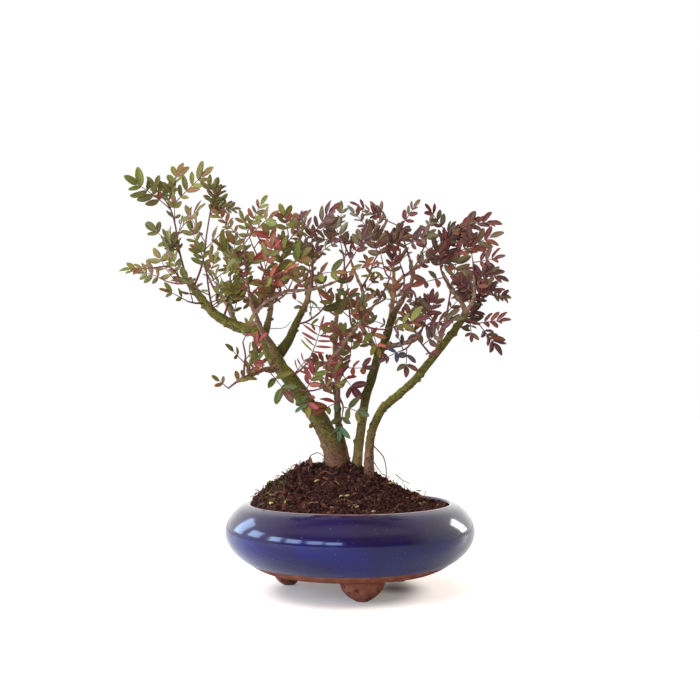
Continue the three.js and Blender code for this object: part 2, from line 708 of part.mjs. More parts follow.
function layLeaf(leaf, shift, pairs) {
  const draw = draws(leaf.seed);
  const end = add(leaf.tip, [0, shift, 0]);
  const chord = add(end, leaf.base, -1);
  const reach = length(chord);
  const straight = unit(chord);
  const facing = [
    leaf.tip[0] * FACE_OUTWARD + FACE_SPREAD * (draw() - 0.5),
    (end[1] < FACE_DIVIDE ? -1 : 1) + FACE_SPREAD * (draw() - 0.5),
    FACE_UP + FACE_SPREAD * (draw() - 0.5),
  ];
  const bow = across([0.05, 0, 1], straight);
  const crown = add(add(leaf.base, chord, 0.5), bow, RACHIS_ARCH * (draw() - 0.4) * reach);
  const rachis = (u) =>
    leaf.base.map((v, i) => v * (1 - u) ** 2 + 2 * crown[i] * u * (1 - u) + end[i] * u * u);
  const frame = (u) => {
    const ahead = unit(add(rachis(Math.min(u + 0.05, 1)), rachis(Math.max(u - 0.05, 0)), -1));
    const normal = across(facing, ahead);
    return { at: rachis(u), ahead, normal, left: cross(normal, ahead) };
  };
  const grown = LEAFLET_LENGTH * Math.min(1, Math.max(SMALLEST, reach / FULL_REACH));
  const leaflets = [];
  for (let k = 0; k < pairs; k++) {
    const share = pairs > 1 ? k / (pairs - 1) : 0.5;
    const u = PAIRS_FROM + (PAIRS_TO - PAIRS_FROM) * share;
    for (const side of [1, -1]) {
      const f = frame(u);
      const open = OPEN_ANGLE + OPEN_SPREAD * (draw() - 0.5) - OPEN_CLOSING * share;
      const lift = LIFT_ANGLE + LIFT_SPREAD * (draw() - 0.5);
      const size = grown * (0.85 + 0.25 * draw()) * (0.9 + 0.1 * share);
      const twist = TWIST_SPREAD * (draw() - 0.5);
      const sideways = add(f.left.map((v) => v * side * Math.cos(lift)), f.normal, Math.sin(lift));
      const ahead = unit(add(f.ahead.map((v) => v * Math.cos(open)), sideways, Math.sin(open)));
      const root = add(f.at, f.left, side * RACHIS_HALF);
      leaflets.push(layLeaflet(root, ahead, f.ahead, f.normal, side, twist, size, u));
    }
  }
  const f = frame(1);
  const size = grown * (0.95 + 0.2 * draw());
  const droop = unit(add(f.ahead, f.normal, 0.3 * (draw() - 0.5)));
  leaflets.push(layLeaflet(f.at, droop, f.left, f.normal, 1, 0, size, 1));
  return { reach, frame, leaflets, pairs };
}

// A leaflet's corners: low is its edge towards the leaf's root, high the edge towards its tip
function layLeaflet(root, ahead, edge, normal, side, twist, size, u) {
  const flat = across(edge, ahead);
  const rise = across(normal, ahead);
  const wide = unit(add(flat.map((v) => v * Math.cos(twist)), rise, side * Math.sin(twist)));
  let up = cross(ahead, wide);
  if (dot(up, normal) < 0) up = up.map((v) => -v);
  const half = (size * LEAFLET_WIDTH) / 2;
  const sag = size * LEAFLET_DROOP;
  return {
    u,
    side,
    up,
    low: add(add(root, ahead, 0.45 * size), wide, -half),
    high: add(add(root, ahead, 0.55 * size), wide, half),
    tip: add(add(root, ahead, size), up, -sag),
    root,
  };
}

// Points spread over a leaf, to keep it clear of what is near
function probes(laid) {
  const points = [];
  const count = Math.max(2, Math.round(laid.reach / PROBE_STEP));
  for (let k = 1; k <= count; k++) {
    const u = k / count;
    if (u * laid.reach > PROBE_STEP) points.push(laid.frame(u).at);
  }
  for (const { root, low, high, tip } of laid.leaflets) {
    const waist = add(low, high).map((v) => v / 2);
    const near = add(root, waist).map((v) => v / 2);
    const far = add(tip, waist).map((v) => v / 2);
    points.push(near, low, waist, high, far, tip);
  }
  return points;
}

// One thin closed blade: the rachis with all its leaflets cut to it
function bladeOf(laid) {
  const points = [];
  const faces = [];
  const corner = (at, normal) => {
    points.push(add(at, normal, BLADE_THICK / 2), add(at, normal, -BLADE_THICK / 2));
    return points.length / 2 - 1;
  };
  const station = (u, wide = RACHIS_HALF) => {
    const f = laid.frame(u);
    return {
      left: corner(add(f.at, f.left, wide), f.normal),
      right: corner(add(f.at, f.left, -wide), f.normal),
    };
  };
  const top = [];
  const stations = [station(0, RACHIS_ROOT_HALF)];
  const leftEdge = [];
  const rightEdge = [stations[0].right];
  const half = LEAFLET_ROOT / laid.reach;
  const outer = (leaflet) => ({
    low: corner(leaflet.low, leaflet.up),
    high: corner(leaflet.high, leaflet.up),
    tip: corner(leaflet.tip, leaflet.up),
  });
  for (let k = 0; k < laid.pairs; k++) {
    const [left, right] = laid.leaflets.slice(2 * k, 2 * k + 2);
    const a = station(left.u - half);
    const b = station(left.u + half);
    const l = outer(left);
    const r = outer(right);
    top.push([a.left, b.left, l.high], [a.left, l.high, l.low], [l.low, l.high, l.tip]);
    top.push([b.right, a.right, r.low], [b.right, r.low, r.high], [r.high, r.low, r.tip]);
    leftEdge.push(stations.at(-1).left, a.left, l.low, l.tip, l.high);
    rightEdge.push(a.right, r.low, r.tip, r.high, b.right);
    stations.push(a, b);
  }
  const end = station(1);
  const last = outer(laid.leaflets.at(-1));
  leftEdge.push(stations.at(-1).left, end.left, last.high, last.tip, last.low);
  rightEdge.push(end.right);
  stations.push(end);
  top.push([end.right, last.low, end.left], [end.left, last.low, last.high]);
  top.push([last.high, last.low, last.tip]);
  for (let k = 0; k < stations.length - 1; k++) {
    const a = stations[k];
    const b = stations[k + 1];
    top.push([a.right, b.right, b.left], [a.right, b.left, a.left]);
  }
  const round = [...rightEdge, ...leftEdge.reverse()];
  for (const [a, b, c] of top) faces.push([2 * a, 2 * b, 2 * c], [2 * a + 1, 2 * c + 1, 2 * b + 1]);
  round.forEach((a, i) => {
    const b = round[(i + 1) % round.length];
    faces.push([2 * a + 1, 2 * b + 1, 2 * b], [2 * a + 1, 2 * b, 2 * a]);
  });
  return solid(points, faces);
}

const twigRows = (twig) => steps(twig, TWIG_STEP);

// The point that far up the twig, or just short of its end
function onTwig(twig, share) {
  return onRows(twigRows(twig), Math.min(share, 1 - ROOT_SUNK / spread(twig)));
}

// Lays every leaf where it is clear of the wood, of the other stems and of the leaves before it
function layAll() {
  const wood = Object.values(LIMBS).flatMap((rows) => steps(rows, PROBE_STEP));
  const names = Object.keys(LEAFY_STEMS);
  const twigs = names.map((name) => twigOf(LEAFY_STEMS[name].stem));
  const twigPoints = twigs.map((rows) => steps(rows, PROBE_STEP));
  const taken = [];
  const clear = (points, own) => {
    const others = twigPoints.filter((_, k) => k !== own).flat();
    return points.every(
      (p) =>
        wood.every((w) => apart(w, p) >= w[3] + WOOD_APART) &&
        others.every((q) => apart(q, p) >= TWIG_APART) &&
        taken.every((q) => apart(q, p) >= LEAF_APART),
    );
  };
  return names.map((name, index) => {
    const laid = [];
    LEAFY_STEMS[name].leaves.forEach(([u, x, y, z, pairs], order) => {
      const leaf = { base: onTwig(twigs[index], u), tip: [x, y, z], seed: index * 20 + order };
      const fewer = pairs > 4 ? 3 : pairs > 2 ? 2 : 1;
      for (const shift of SHIFTS) {
        const tried = layLeaf(leaf, shift, fewer);
        const points = probes(tried);
        if (clear(points, index)) {
          taken.push(...points);
          laid.push(tried);
          return;
        }
      }
    });
    return { name, twig: twigs[index], laid };
  });
}

function makeLeafyStem({ twig, laid }) {
  const rows = twigRows(twig).map((p, i, all) => {
    const share = i / (all.length - 1);
    return [...p, TWIG_RADIUS + (TWIG_TIP_RADIUS - TWIG_RADIUS) * share];
  });
  return laid.reduce((body, leaf) => body.add(bladeOf(leaf)), bar(rows, TWIG_SIDES));
}

// Colours

const GLAZE = 0x1b2268;
const PEAT = 0x35241c;
const BARK = 0x5d5230;
const SCREEN = 0x1c1c1c;
const LEAF_GREEN = 0x55603a;
const LEAF_RED = 0x8c3038;
const LEAF_PURPLE = 0x55303c;

// Green on the left, red low in the middle, purple on the right
function leafColour(twig) {
  const [x, , z] = twig[0];
  if (z < 225 && x > -75) return LEAF_RED;
  return x < -10 ? LEAF_GREEN : LEAF_PURPLE;
}

const bonsai = new THREE.Group();
bonsai.add(meshOf("pot", makePot(), GLAZE, 0.15));
bonsai.add(meshOf("drain_screen_left", makeScreen(-DRAIN_OFFSET), SCREEN, 0.7));
bonsai.add(meshOf("drain_screen_right", makeScreen(DRAIN_OFFSET), SCREEN, 0.7));
bonsai.add(meshOf("soil", makeSoil(), PEAT, 0.95));
bonsai.add(meshOf("tree", woodBars(0).reduce((a, b) => a.add(b)), BARK, 0.8));
for (const stem of layAll()) {
  bonsai.add(meshOf("leafy_stem_" + stem.name, makeLeafyStem(stem), leafColour(stem.twig), 0.6));
}

const extent = new THREE.Box3().setFromObject(bonsai);
const centre = extent.getCenter(new THREE.Vector3());
bonsai.position.set(-centre.x, -centre.y, -extent.min.z);

export default bonsai;
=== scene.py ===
import json
import math

import bmesh
import bpy
import numpy as np
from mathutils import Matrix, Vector, kdtree, noise


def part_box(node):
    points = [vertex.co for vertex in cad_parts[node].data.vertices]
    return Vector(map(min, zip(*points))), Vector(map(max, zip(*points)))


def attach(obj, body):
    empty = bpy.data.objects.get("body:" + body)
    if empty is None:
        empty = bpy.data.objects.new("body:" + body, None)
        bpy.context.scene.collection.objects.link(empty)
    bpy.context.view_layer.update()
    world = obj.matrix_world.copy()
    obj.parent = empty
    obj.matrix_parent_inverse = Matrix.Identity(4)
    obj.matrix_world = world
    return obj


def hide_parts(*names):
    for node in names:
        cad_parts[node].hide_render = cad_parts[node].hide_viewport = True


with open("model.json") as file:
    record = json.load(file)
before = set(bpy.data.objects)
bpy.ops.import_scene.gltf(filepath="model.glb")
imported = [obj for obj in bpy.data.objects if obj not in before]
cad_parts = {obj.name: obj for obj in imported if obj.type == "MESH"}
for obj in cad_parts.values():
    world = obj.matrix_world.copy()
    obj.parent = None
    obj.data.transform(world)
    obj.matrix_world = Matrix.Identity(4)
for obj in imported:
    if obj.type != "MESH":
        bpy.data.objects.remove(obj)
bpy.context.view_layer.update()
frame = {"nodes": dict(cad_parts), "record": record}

# The pot
# One piece of stoneware, thrown on a wheel with a full belly and a drawn-in mouth. Three feet were
# pressed in a mould and joined on before firing. A cobalt glaze covers the bowl down to a line
# above the foot, where the clay is left bare.
pot_low, pot_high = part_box("pot")
POT_AXIS = np.array([(pot_low[0] + pot_high[0]) / 2, (pot_low[1] + pot_high[1]) / 2, 0])
MM = 0.001
UNDERSIDE, FLOOR = 17, 25
OUTER_SKIN = [
    (73, UNDERSIDE), (78.6, 19.3), (86, 23.6), (94.4, 29.5), (101.4, 37.5), (104.9, 46),
    (104.6, 54), (101, 61.5), (94, 69.2), (87, 72.6),
]
LIP = [(86.2, 72.9), (85.2, 72.9), (84.2, 72.4)]
INNER_SKIN = [(83.6, 71.4), (85.4, 67.6), (95, 60), (99.2, 49.5), (94, 37.5), (76, FLOOR)]
# the flat underside and floor have rings of corners at these radii
FLAT_RINGS = (20, 50)
BOWL_SIDES, OUTER_STEPS, INNER_STEPS = 180, 54, 30
FOOT_BEARINGS = (-80, 40, 160)
# a foot's height, half width, half depth and distance from the axis
FOOT_RINGS = [
    (0, 4.9, 5, 56), (2.4, 9, 7.6, 56.4), (6, 13.6, 9.6, 57), (11, 17.3, 11.2, 57.8),
    (UNDERSIDE + 1.5, 19.4, 11.8, 58),
]
FOOT_SIDES, FOOT_STEPS = 120, 44
SCROLL_MIDDLE, SCROLL_REACH, SCROLL_PITCH, SCROLL_DEPTH = (7.2, 11.2), 6.5, 3.4, 0.55
SCROLL_NARROW, SCROLL_FADE = 2.6, 1.5
DRAIN_RADIUS, DRAIN_OFFSET, DRAIN_SIDES, DRILLED_PAST = 7, 27, 48, 3


def smooth_line(rows, count):
    """The smooth line through the rows, cut into count even shares."""
    rows = np.array(rows, float)
    last = len(rows) - 1
    u = np.linspace(0, last, count + 1)
    k = np.minimum(u.astype(int), last - 1)
    f = (u - k)[:, None]
    a, b, c, d = rows[np.maximum(k - 1, 0)], rows[k], rows[k + 1], rows[np.minimum(k + 2, last)]
    turn = (2 * a - 5 * b + 4 * c - d) * f**2
    return 0.5 * (2 * b + (c - a) * f + turn + (3 * b - a - 3 * c + d) * f**3)


def circle_of(sides):
    """A circle of radius 1 about the upright axis."""
    turn = np.arange(sides) * 2 * math.pi / sides
    return np.stack([np.cos(turn), np.sin(turn), 0 * turn], 1)


def shell(rings):
    """Corners and faces through a stack of rings with equal counts, closed by a fan at each end."""
    rings = np.array(rings, float)
    count, sides = rings.shape[:2]
    points = [tuple(p) for p in rings.reshape(-1, 3)]
    pairs = [(i, (i + 1) % sides) for i in range(sides)]
    faces = [
        (k + a, k + b, k + b + sides, k + a + sides)
        for k in range(0, (count - 1) * sides, sides)
        for a, b in pairs
    ]
    points += [tuple(rings[0].mean(0)), tuple(rings[-1].mean(0))]
    foot, top = count * sides, (count - 1) * sides
    faces += [(foot, b, a) for a, b in pairs]
    faces += [(foot + 1, top + a, top + b) for a, b in pairs]
    return points, faces


def joined(shells):
    """Several shells as one list of corners and one of faces."""
    points, faces = [], []
    for more_points, more_faces in shells:
        start = len(points)
        points += more_points
        faces += [tuple(start + i for i in face) for face in more_faces]
    return points, faces


def placed(name, points, faces, edges=()):
    """An object at the origin, with its mesh set about the pot's axis."""
    mesh = bpy.data.meshes.new(name)
    spots = np.array(points, float) * MM + POT_AXIS
    mesh.from_pydata([tuple(p) for p in spots], list(edges), faces)
    mesh.shade_smooth()
    piece = bpy.data.objects.new(name, mesh)
    bpy.context.scene.collection.objects.link(piece)
    return piece


def settle(piece):
    """The piece with its modifiers worked into a plain mesh."""
    depsgraph = bpy.context.evaluated_depsgraph_get()
    worked = piece.evaluated_get(depsgraph)
    mesh = bpy.data.meshes.new_from_object(worked, preserve_all_data_layers=True, depsgraph=depsgraph)
    piece.modifiers.clear()
    piece.data = mesh
    mesh.name = piece.name
    return piece


def heading(bearing):
    """How far a step of 1 goes along x and y, for a bearing in degrees."""
    return math.cos(math.radians(bearing)), math.sin(math.radians(bearing))


def cloud_foot(bearing):
    """A moulded foot, wide under the bowl and narrow on the ground, with a scroll cut in its face."""
    c, s = heading(bearing)
    out, wide = np.array([c, s, 0]), np.array([-s, c, 0])
    forward, sideways, _ = circle_of(FOOT_SIDES).T
    rings = []
    for z, half_width, half_depth, away in smooth_line(FOOT_RINGS, FOOT_STEPS):
        along = half_width * sideways
        # two scrolls that curl away from the middle of the face
        x, y = np.abs(along) - SCROLL_MIDDLE[0], z - SCROLL_MIDDLE[1]
        from_curl = np.hypot(x, y)
        groove = np.abs((from_curl / SCROLL_PITCH - np.arctan2(y, x) / (2 * math.pi)) % 1 - 0.5) * 2
        cut = np.clip(1 - groove * SCROLL_NARROW, 0, 1)
        cut *= np.clip((SCROLL_REACH - from_curl) / SCROLL_FADE, 0, 1)
        cut *= np.clip(forward * 2, 0, 1)
        away = away + half_depth * forward - SCROLL_DEPTH * cut
        rings.append(away[:, None] * out + along[:, None] * wide + [0, 0, max(z, 0)])
    return shell(rings)


profile = [(r, UNDERSIDE) for r in FLAT_RINGS] + [*smooth_line(OUTER_SKIN, OUTER_STEPS), *LIP]
profile += [*smooth_line(INNER_SKIN, INNER_STEPS)] + [(r, FLOOR) for r in reversed(FLAT_RINGS)]
pot = placed("pot_bowl", *shell([circle_of(BOWL_SIDES) * r + [0, 0, z] for r, z in profile]))
cutters = []
for x in (-DRAIN_OFFSET, DRAIN_OFFSET):
    ring = circle_of(DRAIN_SIDES) * DRAIN_RADIUS + [x, 0, 0]
    ends = [ring + [0, 0, z] for z in (UNDERSIDE - DRILLED_PAST, FLOOR + DRILLED_PAST)]
    cutters.append(placed("drain", *shell(ends)))
    pot.modifiers.new("drain", "BOOLEAN").object = cutters[-1]
settle(pot)
feet = placed("feet", *joined([cloud_foot(bearing) for bearing in FOOT_BEARINGS]))
both = bmesh.new()
both.from_mesh(pot.data)
both.from_mesh(feet.data)
both.to_mesh(pot.data)
both.free()
for helper in (*cutters, feet):
    bpy.data.objects.remove(helper)
pot.data.shade_smooth()


def sum_with(operation, turned=False):
    """An operator that adds a Math node. Its reflected form takes the two values turned about."""

    def work(self, other):
        a, b = (other, self) if turned else (self, other)
        return self.bench.number(operation, a, b)

    return work


class Value:
    """A node's output. Sums written with it add the Math nodes."""

    def __init__(self, bench, socket):
        self.bench, self.socket = bench, socket

    def beside(self, key):
        """Another output of the same node."""
        return Value(self.bench, self.socket.node.outputs[key])

    def __abs__(self):
        return self.bench.number("ABSOLUTE", self)

    __add__, __radd__ = sum_with("ADD"), sum_with("ADD", True)
    __sub__, __rsub__ = sum_with("SUBTRACT"), sum_with("SUBTRACT", True)
    __mul__, __rmul__ = sum_with("MULTIPLY"), sum_with("MULTIPLY", True)
    __pow__ = sum_with("POWER")


class Bench:
    """A node tree being made."""

    def __init__(self, tree):
        self.tree = tree

    def make(self, kind, settings=(), sockets=(), out=0):
        """Adds a node, with its settings first and then its sockets' values, links or lists of links."""
        node = self.tree.nodes.new(kind)
        for name, value in dict(settings).items():
            setattr(node, name, value)
        for key, value in dict(sockets).items():
            for part in value if isinstance(value, list) else [value]:
                if isinstance(part, Value):
                    self.tree.links.new(part.socket, node.inputs[key])
                else:
                    node.inputs[key].default_value = part
        return Value(self, node.outputs[out]) if node.outputs else None

    def number(self, operation, a, b=0):
        return self.make("ShaderNodeMath", {"operation": operation}, {0: a, 1: b})

    def vector(self, operation, a, b=(0, 0, 0)):
        """Vector Math. SCALE takes a number as b, and LENGTH gives one."""
        sockets, out = {0: a, 3 if operation == "SCALE" else 1: b}, int(operation == "LENGTH")
        return self.make("ShaderNodeVectorMath", {"operation": operation}, sockets, out)

    def parts(self, vector):
        """A vector's three numbers."""
        x = self.make("ShaderNodeSeparateXYZ", (), {0: vector})
        return x, x.beside(1), x.beside(2)

    def step(self, value, low, high, least=0.0, most=1.0):
        """A smooth rise from least, at low, to most, at high."""
        sockets = {0: value, 1: low, 2: high, 3: least, 4: most}
        return self.make("ShaderNodeMapRange", {"interpolation_type": "SMOOTHSTEP"}, sockets)


class Finish(Bench):
    """A material on the bench, with what its patterns are drawn with."""

    def __init__(self, name):
        self.material = bpy.data.materials.new(name)
        self.material.use_nodes = True
        super().__init__(self.material.node_tree)
        self.tree.nodes.clear()
        self.spot = self.make("ShaderNodeTexCoord", out=3)

    def mottle(self, size, detail=3.0, roughness=0.55, spot=None, stretch=0.0):
        """Soft noise with features of about that many millimetres."""
        sockets = {"Vector": spot or self.spot, "Scale": 1000 / size, "Detail": detail}
        sockets.update({"Roughness": roughness, "Distortion": stretch})
        return self.make("ShaderNodeTexNoise", (), sockets)

    def carried(self, name, out=2):
        """What the mesh carries by that name: a colour at 0, a vector at 1 and a number at 2."""
        return self.make("ShaderNodeAttribute", {"attribute_name": name}, out=out)

    def blend(self, share, a, b, how="MIX"):
        settings = {"data_type": "RGBA", "blend_type": how}
        return self.make("ShaderNodeMix", settings, {0: share, 6: a, 7: b}, 2)

    def relief(self, height, depth, under=None):
        """A bump of that many millimetres."""
        sockets = {"Height": height, "Distance": depth * MM, "Strength": 1.0}
        if under:
            sockets["Normal"] = under
        return self.make("ShaderNodeBump", (), sockets)

    def shade(self, colour, roughness, normal, **fixed):
        """The surface shader. Fixed values go on its own sockets."""
        sockets = {"Base Color": colour, "Roughness": roughness, "Normal": normal, **fixed}
        surface = self.make("ShaderNodeBsdfPrincipled", (), sockets)
        self.make("ShaderNodeOutputMaterial", (), {0: surface})

    def dress(self, piece):
        """Gives the piece this finish and no other."""
        piece.data.materials.clear()
        piece.data.materials.append(self.material)


def paint(red, green, blue):
    """A colour swatch as the shaders want it."""
    swatch = np.array([red, green, blue]) / 255
    line = np.where(swatch <= 0.04045, swatch / 12.92, ((swatch + 0.055) / 1.055) ** 2.4)
    return (*[float(v) for v in line], 1)


COBALT, BRIGHT_COBALT, AUBERGINE = paint(22, 17, 70), paint(19, 18, 90), paint(33, 20, 40)
GLAZE_FLECK, THIN_GLAZE = paint(96, 104, 170), paint(146, 112, 92)
CLAY, PALE_CLAY, SMUDGE = paint(134, 75, 53), paint(160, 97, 72), paint(48, 34, 30)
# heights in metres over which one look of the pot turns into the next
GLAZE_LINE, SHOULDER = (0.02345, 0.02415), (0.044, 0.056)
LIP_EDGE, FOOT_TOP = (0.0722, 0.0729), (0.012, 0.019)

glazed = Finish("cobalt_glaze_on_clay")
up = glazed.parts(glazed.spot)[2]
wander = (glazed.mottle(14, 2) - 0.5) * 0.0016
bare = 1 - glazed.step(up + wander, *GLAZE_LINE)
pooled = glazed.mottle(46, 3, 0.5)
glaze = glazed.blend(glazed.step(pooled, 0.42, 0.62), COBALT, BRIGHT_COBALT)
# the upper half of the bowl turns aubergine: partly thinner glaze, partly a painted dark reflection of the
# room
thin_glaze_and_painted_reflection = glazed.step(up + (glazed.mottle(24, 3, stretch=1) - 0.5) * 0.016, *SHOULDER)
glaze = glazed.blend(thin_glaze_and_painted_reflection * 0.74, glaze, AUBERGINE)
flecks = glazed.make("ShaderNodeTexVoronoi", (), {"Vector": glazed.spot, "Scale": 210})
glaze = glazed.blend((1 - glazed.step(flecks, 0.05, 0.09)) * 0.55, glaze, GLAZE_FLECK)
glaze = glazed.blend(glazed.step(up + wander * 0.3, *LIP_EDGE) * 0.7, glaze, THIN_GLAZE)
clay = glazed.blend(glazed.step(glazed.mottle(7, 5), 0.35, 0.7), CLAY, PALE_CLAY)
low = 1 - glazed.step(up, *FOOT_TOP)
smudge = glazed.step(glazed.mottle(6, 5, 0.7), 0.52, 0.62) * (low * 0.8 + 0.12)
clay = glazed.blend(smudge, clay, SMUDGE)
ripple = glazed.relief(glazed.mottle(6, 2), 0.11, glazed.relief(glazed.mottle(17, 2), 0.24))
glazed.shade(
    glazed.blend(bare, glaze, clay),
    0.13 + bare * 0.68,
    glazed.relief(glazed.mottle(0.7, 4, 0.7) * bare, 0.16, ripple),
    **{"Coat Weight": 1 - bare, "Coat Roughness": 0.12, "Coat IOR": 1.38, "Specular IOR Level": 0.12},
)
glazed.dress(pot)
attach(pot, "root")
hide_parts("pot")

# The drain screens
# A square of moulded black plastic mesh over each drain hole keeps the soil in. It lies loose on
# the pot's floor, under the soil.
mesh_plastic = Finish("black_plastic_mesh")
mesh_plastic.shade(
    mesh_plastic.blend(mesh_plastic.mottle(3, 4), paint(20, 20, 20), paint(44, 42, 40)),
    0.5 + mesh_plastic.mottle(2, 3) * 0.3,
    mesh_plastic.relief(mesh_plastic.mottle(0.6, 3), 0.05),
)
for name in ("drain_screen_left", "drain_screen_right"):
    mesh_plastic.dress(frame["nodes"][name])

# The soil
# Dark peaty soil with bits of bark, heaped against the trunks so that it stands well above the
# rim, steep on the left and long on the right. Moss has taken hold low on the left.
SOIL_BOTTOM, SOIL_EDGE, SOIL_TOP = FLOOR + 1.9, 71, 105.5
SOIL_RADIUS, SOIL_SIDES, SOIL_RINGS = 82.9, 220, 88
# the mound's crest runs from one x to the other, and falls off over these distances
RIDGE = (-40, 1)
FALL_LEFT, FALL_RIGHT, FALL_DEEP = 46, 74, 64
MOUND_CENTRE = -18
SOIL_WALL = [
    (30, SOIL_BOTTOM), (76, SOIL_BOTTOM), (93.2, 37.5), (98.4, 49.5), (94.2, 60), (84.6, 67.6),
    (82.9, SOIL_EDGE - 1),
]
# lumps on the mound: their size, how high they stand, and how smooth, how much finer from layer
# to layer and in how many layers
CLODS, CRUMBS = (11, 3, 0.9, 2.1, 4), (3.6, 2.4, 0.7, 2.2, 3)
# how fast they fade in from the rim, and how far the soil has settled with each millimetre of x
FADE_IN, SETTLED = 7, 0.045
# clumps that stand out of the mound: x, y, how high and how wide
CLUMPS = [
    (-67, -12, 5.5, 3.6), (-62, -9, 3, 4), (-50, -26, 2.6, 6), (-36, -8, 2.2, 4), (-20, -40, 2.4, 7),
    (12, -36, 2, 6), (30, -12, 2, 4), (-44, 10, 2.5, 5), (-76, -20, 2.4, 4),
]


def soil_spot(x, y, edge_share):
    """The height of the mound with its lumps, which fade out at the rim."""
    near = min(max(x, RIDGE[0]), RIDGE[1])
    away = math.hypot(x - near, y)
    sideways = (x - near) / away if away > 0 else 0
    fall = FALL_DEEP + ((FALL_RIGHT if sideways > 0 else FALL_LEFT) - FALL_DEEP) * sideways**2
    smooth = SOIL_EDGE + (SOIL_TOP - SOIL_EDGE) * max(0, 1 - away / fall)
    proud = sum(high * math.exp(-((x - u) ** 2 + (y - v) ** 2) / wide**2) for u, v, high, wide in CLUMPS)
    lumps = proud - SETTLED * max(0, x)
    for (size, height, *layers), level in ((CLODS, 3), (CRUMBS, 9)):
        spot = Vector((x, y, level)) / size
        lumps += height * noise.fractal(spot, *layers, noise_basis="PERLIN_ORIGINAL")
    return smooth + min(1, edge_share * FADE_IN) * lumps


circle = circle_of(SOIL_SIDES)
wall = [circle * r + [0, 0, z] for r, z in SOIL_WALL]
top_rings = []
for share in np.arange(1, SOIL_RINGS) / SOIL_RINGS:
    ring = circle * SOIL_RADIUS * (1 - share) + [MOUND_CENTRE * share, 0, 0]
    ring[:, 2] = [soil_spot(x, y, share) for x, y, _ in ring]
    top_rings.append(ring)
soil = placed("soil_mound", *shell(wall + top_rings))

PEAT, DARK_PEAT, RUSTY_PEAT = paint(74, 44, 38), paint(32, 17, 14), paint(104, 62, 48)
STRAW, MOSS, MOSS_SHADE = paint(196, 160, 96), paint(106, 104, 40), paint(60, 58, 24)
DULL = {"Specular IOR Level": 0.1}

peat = Finish("damp_peat")
crumb = peat.mottle(2.2, 6, 0.7)
# the hollows of the crumb relief take the dark peat: painted shade between the crumbs, along with the peat's
# own dark bits
colour = peat.blend(peat.step(crumb, 0.4, 0.6), DARK_PEAT, PEAT)
colour = peat.blend(peat.step(peat.mottle(3.4, 5, 0.7, stretch=0.6), 0.56, 0.66), colour, RUSTY_PEAT)
colour = peat.blend(peat.step(peat.mottle(1.3, 3), 0.68, 0.74) * 0.7, colour, STRAW)
rough = peat.relief(peat.mottle(1.1, 7, 0.75), 0.9, peat.relief(crumb, 1.2))
peat.shade(colour, 0.92, rough, **DULL)
peat.dress(soil)
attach(soil, "root")
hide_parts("soil")

# The crumbs, fibres, chips and moss on the soil
# Peat crumbs, dry root fibres and broken bark lie loose on the mound, and moss grows low on its
# left slope. Each kind is one mesh, strewn over the soil's top.


def tree_of(name, sizes):
    """An empty Geometry Nodes tree with named inputs, and what its inputs give."""
    group = bpy.data.node_groups.new(name, "GeometryNodeTree")
    group.interface.new_socket("Geometry", in_out="OUTPUT", socket_type="NodeSocketGeometry")
    for size_name, kind in {"Geometry": "Geometry", **sizes}.items():
        group.interface.new_socket(size_name, in_out="INPUT", socket_type="NodeSocket" + kind)
    bench = Bench(group)
    sockets = bench.make("NodeGroupInput").socket.node.outputs
    return bench, {socket.name: Value(bench, socket) for socket in sockets if socket.name}


def named(bench, name, kind="FLOAT"):
    """What the mesh carries by that name."""
    return bench.make("GeometryNodeInputNamedAttribute", {"data_type": kind}, {0: name})


def draw_between(bench, low, high, seed):
    """A random number or vector between two others, for each point or instance."""
    kind, first, out = ("FLOAT", 2, 1) if isinstance(low, float) else ("FLOAT_VECTOR", 0, 0)
    sockets = {first: low, first + 1: high, 8: seed}
    return bench.make("FunctionNodeRandomValue", {"data_type": kind}, sockets, out)


def finish_tree(bench, geometry, finish=None):
    """Ends a tree in plain smooth mesh, with its material if its parts have none yet."""
    plain = bench.make("GeometryNodeRealizeInstances", (), {0: geometry})
    if finish:
        sockets = {"Geometry": plain, "Material": finish.material}
        plain = bench.make("GeometryNodeSetMaterial", (), sockets)
    bench.make("NodeGroupOutput", (), {0: bench.make("GeometryNodeSetShadeSmooth", (), {0: plain})})


def grown(piece, bench, sizes):
    """The piece as the tree makes it, as a plain mesh."""
    modifier = piece.modifiers.new("grown", "NODES")
    modifier.node_group = bench.tree
    for item in bench.tree.interface.items_tree:
        if item.in_out == "INPUT" and item.name in sizes:
            modifier[item.identifier] = sizes[item.name]
    return settle(piece)


def carry(mesh, name, values, kind="FLOAT"):
    """Gives each of the mesh's points a value. Where there are fewer, the last points get them."""
    values = np.array(values, np.float32)
    field = np.zeros((len(mesh.vertices), *values.shape[1:]), np.float32)
    field[len(field) - len(values) :] = values
    key = {"FLOAT": "value", "FLOAT_VECTOR": "vector", "FLOAT_COLOR": "color"}[kind]
    mesh.attributes.new(name, kind, "POINT").data.foreach_set(key, field.ravel())


# lengths in metres
BIT_INPUTS = {
    "Per square metre": "Float", "Smallest": "Float", "Largest": "Float", "Ragged": "Float", "Seed": "Int",
}
# the higher this is, the fewer of the bits are large. Then the least and most stretch of a bit
SMALL_BITS, BIT_STRETCH = 2.2, ((0.45, 0.45, 0.35), (1.5, 1.4, 1.0))


